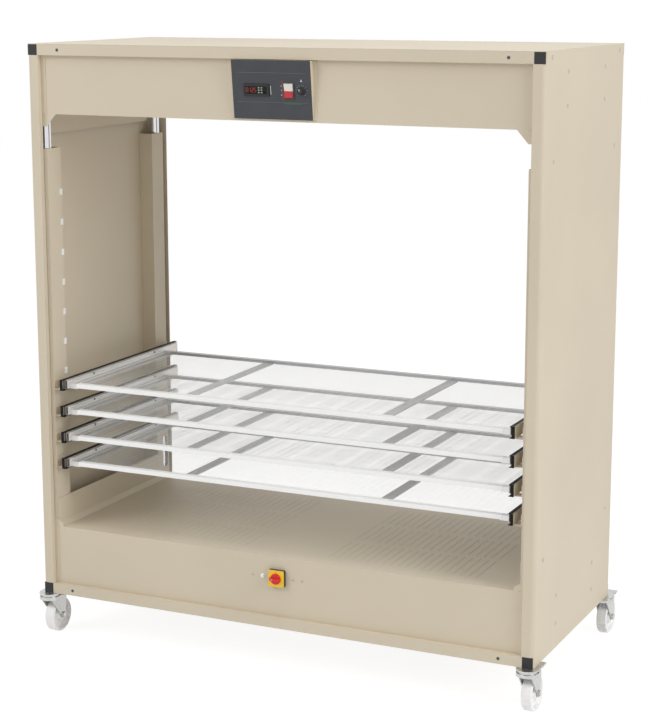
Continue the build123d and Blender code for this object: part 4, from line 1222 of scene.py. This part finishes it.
# ---------------------------------------------------------------------------- main switch
@dataclass
class MainSwitch:
    """Main switch and pilot lamp in the lower front panel."""

    finishes: Finishes
    plate_metal: float = 2.3 * MM  # thickness of the yellow plate
    film: float = 0.15 * MM  # thickness of its marks
    mark_reach: float = 19.5 * MM  # distance of the marks from the switch's axis
    mark_stroke: Pair = (0.9 * MM, 4.4 * MM)  # width and height of the on mark
    mark_ring: Pair = (1.3 * MM, 2.0 * MM)  # inner and outer radius of the off mark
    mark_stretch: float = 1.2  # height of that ring, as a share of its width
    mark_steps: int = 16  # sides of it
    grip_line: tuple[float, ...] = (6.0 * MM, 1.3 * MM, -7.5 * MM)  # length, width and place
    grip_levels: Pair = (-0.2 * MM, 0.12 * MM)  # of the line, under and over the grip's front
    corner_reach: float = 18.5 * MM  # distance of the plate's screws from its middle lines
    corner_head: tuple[Pair, ...] = millimetres(
        (2.4, 0), (2.3, 0.5), (1.7, 0.9), (0.8, 0.9), (0.7, 0.4)
    )
    panel_head: tuple[Pair, ...] = millimetres(
        (2.6, 0), (2.5, 0.5), (1.8, 1.0), (0.9, 1.05), (0.8, 0.4)
    )
    panel_screws: tuple[float, ...] = (-73 * MM, 52 * MM, 80 * MM)
    screw_sides: int = 14
    lens_radius: float = 4.9 * MM
    bezel_reach: float = 3.5 * MM  # rim of the lamp's ring, behind the lens's front
    bezel_sides: int = 28

    def __post_init__(self) -> None:
        """Find the front of the yellow plate."""
        self.face = Face(joint("main_switch_turn")[0], X_AXIS, Z_AXIS)

    def build(self) -> None:
        """Dress the switch and the lamp, and add their marks and screws."""
        low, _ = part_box("main_switch_base")
        plate = TwoTone(
            "switch_plate", "Y", low.y + self.plate_metal, paint(252, 206, 44),
            paint(34, 34, 36), 0.34,
        ).build()
        dress(plate, "main_switch_base")
        dress(self.finishes.red, "main_switch_knob")
        dress(self.finishes.lens, "pilot_lamp")
        self.marks()
        self.pointer()
        self.lamp_ring()
        self.small_screws()

    def marks(self) -> None:
        """On and off marks, and the plate's corner screws."""
        face = self.face
        marks = Maker("switch_marks")
        marks.plate(rectangle(*self.mark_stroke, 0, self.mark_reach), face, 0, self.film)
        inner, outer = self.mark_ring
        for n in range(self.mark_steps):
            first, second = (2 * math.pi * k / self.mark_steps for k in (n, n + 1))
            outline = [
                (
                    radius * math.cos(turn) - self.mark_reach,
                    radius * self.mark_stretch * math.sin(turn),
                )
                for radius, turn in (
                    (inner, first), (outer, first), (outer, second), (inner, second)
                )
            ]
            marks.plate(outline, face, 0, self.film)
        marks.finish(self.finishes.black, "cabinet")
        corners = Maker("switch_plate_screws")
        for sign in (-1, 1):
            foot = face.at(sign * self.corner_reach, -sign * self.corner_reach)
            corners.turned(self.corner_head, foot, face.out, self.screw_sides)
        corners.finish(self.finishes.screw, "cabinet", smooth=True)

    def pointer(self) -> None:
        """White line on the red grip, along its length."""
        low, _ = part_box("main_switch_knob")
        front = self.face.origin.y - low.y
        line = Maker("switch_grip_line")
        levels = (front + level for level in self.grip_levels)
        line.plate(rectangle(*self.grip_line), self.face, *levels)
        line.finish(self.finishes.print_white, "main_switch_knob")

    def lamp_ring(self) -> None:
        """Bright ring around the pilot lamp's lens."""
        low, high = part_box("pilot_lamp")
        foot = (low + high) / 2
        foot.y = low.y + self.bezel_reach
        inner, outer = self.lens_radius, (high.x - low.x) / 2 * 0.99
        profile = (
            (outer, -1.6 * MM), (outer, -0.9 * MM), (outer * 0.9, -0.1 * MM),
            (inner, 0.15 * MM), (inner, -0.6 * MM),
        )
        ring = Maker("lamp_bezel")
        ring.turned(profile, foot, -Y_AXIS, self.bezel_sides)
        ring.finish(self.finishes.chrome, "cabinet", smooth=True)

    def small_screws(self) -> None:
        """Small screws of the panel on both sides of the switch."""
        low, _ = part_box("front_apron")
        screws = Maker("panel_small_screws")
        for x in self.panel_screws:
            foot = Vector((x, low.y, self.face.origin.z))
            screws.turned(self.panel_head, foot, -Y_AXIS, self.screw_sides)
        screws.finish(self.finishes.screw, "cabinet", smooth=True)


# ---------------------------------------------------------------------------- castors
@dataclass
class Castor:
    """One swivel castor."""

    number: int
    finishes: Finishes
    washer_dia: float = 26.0 * MM  # steel washers on the hub
    washer_sides: int = 32

    def build(self) -> None:
        """Dress the castor and add its washers."""
        zinc = self.finishes.pressed_zinc
        dress(zinc, f"castor_fork_{self.number}", f"brake_pedal_{self.number}")
        dress(self.finishes.nylon, f"castor_wheel_{self.number}")
        self.washers()

    def washers(self) -> None:
        """Steel bearing washers on both ends of the hub."""
        wheel = f"castor_wheel_{self.number}"
        foot, _ = joint(f"castor_{self.number}_roll")
        radius = self.washer_dia / 2
        profile = (
            (radius, -0.2 * MM), (radius, 0.5 * MM), (radius * 0.94, 0.9 * MM),
            (radius * 0.62, 1.0 * MM), (radius * 0.56, 0.6 * MM),
        )
        washers = Maker(f"hub_washers_{self.number}")
        for side in Side:
            foot.x = side.wall(wheel)
            washers.turned(profile, foot, side.value * X_AXIS, self.washer_sides)
        washers.finish(self.finishes.pressed_zinc, wheel, smooth=True)


# ---------------------------------------------------------------------------- studio
@dataclass(frozen=True)
class Viewpoint:
    """Where the cabinet is seen from."""

    location: tuple[float, float, float] = (2.2420, -4.7960, 1.8983)
    azimuth: float = 25.191  # degrees round the cabinet; 0 looks along +Y
    elevation: float = 11.336  # degrees above the horizon
    roll: float = -0.072  # degrees about the line of sight
    lens: float = 94.41  # focal length in millimetres
    frame_width: float = 36.0  # width of its frame in millimetres
    reach: float = 60.0  # farthest distance that it sees

    def build(self) -> None:
        """Make the camera and choose it for the scene."""
        azimuth, elevation, roll = (
            math.radians(angle) for angle in (self.azimuth, self.elevation, self.roll)
        )
        back = Vector((
            math.sin(azimuth) * math.cos(elevation), -math.cos(azimuth) * math.cos(elevation),
            math.sin(elevation),
        ))
        level = Vector((math.cos(azimuth), math.sin(azimuth), 0))
        upright = back.cross(level)
        right = level * math.cos(roll) + upright * math.sin(roll)
        up = upright * math.cos(roll) - level * math.sin(roll)
        data = bpy.data.cameras.new("studio_camera")
        data.sensor_width = self.frame_width
        data.lens = self.lens
        data.clip_end = self.reach
        camera = bpy.data.objects.new("studio_camera", data)
        bpy.context.scene.collection.objects.link(camera)
        turn = Matrix((right, up, back)).transposed().to_4x4()
        camera.matrix_world = Matrix.Translation(self.location) @ turn
        bpy.context.scene.camera = camera


@dataclass(frozen=True)
class Lamp:
    """Soft square lamp that looks at the cabinet's middle."""

    name: str
    place: tuple[float, float, float]
    size: float  # side of the lamp
    power: float  # watts
    target: tuple[float, float, float] = (0.0, 0.0, 0.8)

    def build(self) -> None:
        """Make the lamp."""
        data = bpy.data.lights.new(self.name, "AREA")
        data.shape = "SQUARE"
        data.size = self.size
        data.energy = self.power
        lamp = bpy.data.objects.new(self.name, data)
        bpy.context.scene.collection.objects.link(lamp)
        lamp.location = self.place
        lamp.rotation_mode = "QUATERNION"
        sight = Vector(self.target) - Vector(self.place)
        lamp.rotation_quaternion = sight.to_track_quat("-Z", "Y")


@dataclass
class Studio:
    """White studio: world light, soft lamps and a pale floor."""

    ambient: float = 0.42  # strength of the light from all around
    lamps: tuple[Lamp, ...] = (
        Lamp("key_lamp", (5.6, -1.6, 3.4), 3.0, 140.0),
        Lamp("fill_lamp", (-4.2, -4.6, 4.6), 3.0, 138.0),
        Lamp("head_lamp", (0.6, -0.6, 5.2), 3.4, 56.0),
    )
    floor_clouds: Pattern = Pattern(1.4)
    floor_glow: float = 0.74  # how far the floor is lifted towards white for the lens
    floor_white: float = 1.2  # strength of the white that lifts it
    floor_half: float = 14.0  # half the side of the floor
    floor_cells: int = 8  # squares along each side

    def build(self) -> None:
        """Set up the world, the lamps, the floor and the camera."""
        bpy.context.scene.view_settings.view_transform = "Standard"
        self.world()
        for lamp in self.lamps:
            lamp.build()
        self.floor()
        Viewpoint().build()

    def world(self) -> None:
        """White world for the lens and in reflections, at a plain level as light."""
        world = bpy.data.worlds.new("white_studio")
        bpy.context.scene.world = world
        world.use_nodes = True
        nodes = Nodes(world.node_tree)
        light, white = (
            nodes.add("Background", {"Color": WHITE, "Strength": strength}).outputs[0]
            for strength in (self.ambient, 1.0)
        )
        mix = nodes.add("MixShader", {"Fac": nodes.seen(), 1: light, 2: white})
        nodes.add("OutputWorld", {"Surface": mix.outputs["Shader"]})

    def floor(self) -> None:
        """Pale floor that keeps the cabinet's soft shadow."""
        mesh = bmesh.new()
        cells = self.floor_cells
        bmesh.ops.create_grid(mesh, x_segments=cells, y_segments=cells, size=self.floor_half)
        data = bpy.data.meshes.new("studio_floor")
        mesh.to_mesh(data)
        mesh.free()
        floor = bpy.data.objects.new("studio_floor", data)
        bpy.context.scene.collection.objects.link(floor)
        pale = Shader("pale_floor")
        clouds = pale.pattern(self.floor_clouds)
        colours = (paint(246, 246, 246), paint(250, 250, 250))
        pale.set(
            Base_Color=pale.between(clouds, colours, self.floor_clouds.ends), Roughness=0.9,
            Specular_IOR_Level=0.1,
        )
        glow = pale.add("Emission", {"Color": WHITE, "Strength": self.floor_white})
        lift = pale.combine("MULTIPLY", pale.seen(), self.floor_glow)
        paths = {"Fac": lift, 1: pale.surface.outputs["BSDF"], 2: glow.outputs["Emission"]}
        mix = pale.add("MixShader", paths)
        pale.feed(pale.output.inputs["Surface"], mix.outputs["Shader"])
        data.materials.append(pale.material)


def main() -> None:
    """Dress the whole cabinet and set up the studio."""
    logging.basicConfig(level=logging.INFO, format="%(name)s: %(message)s")
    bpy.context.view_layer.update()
    finishes = Finishes()
    Cabinet(finishes).build()
    for number in range(1, TRAYS + 1):
        Tray(number, finishes).build()
    Ventilation(finishes).build()
    Console(finishes).build()
    MainSwitch(finishes).build()
    dress(finishes.pressed_zinc, "castor_plates")
    for number in range(1, CASTORS + 1):
        Castor(number, finishes).build()
    Studio().build()


if __name__ == "__main__":
    main()
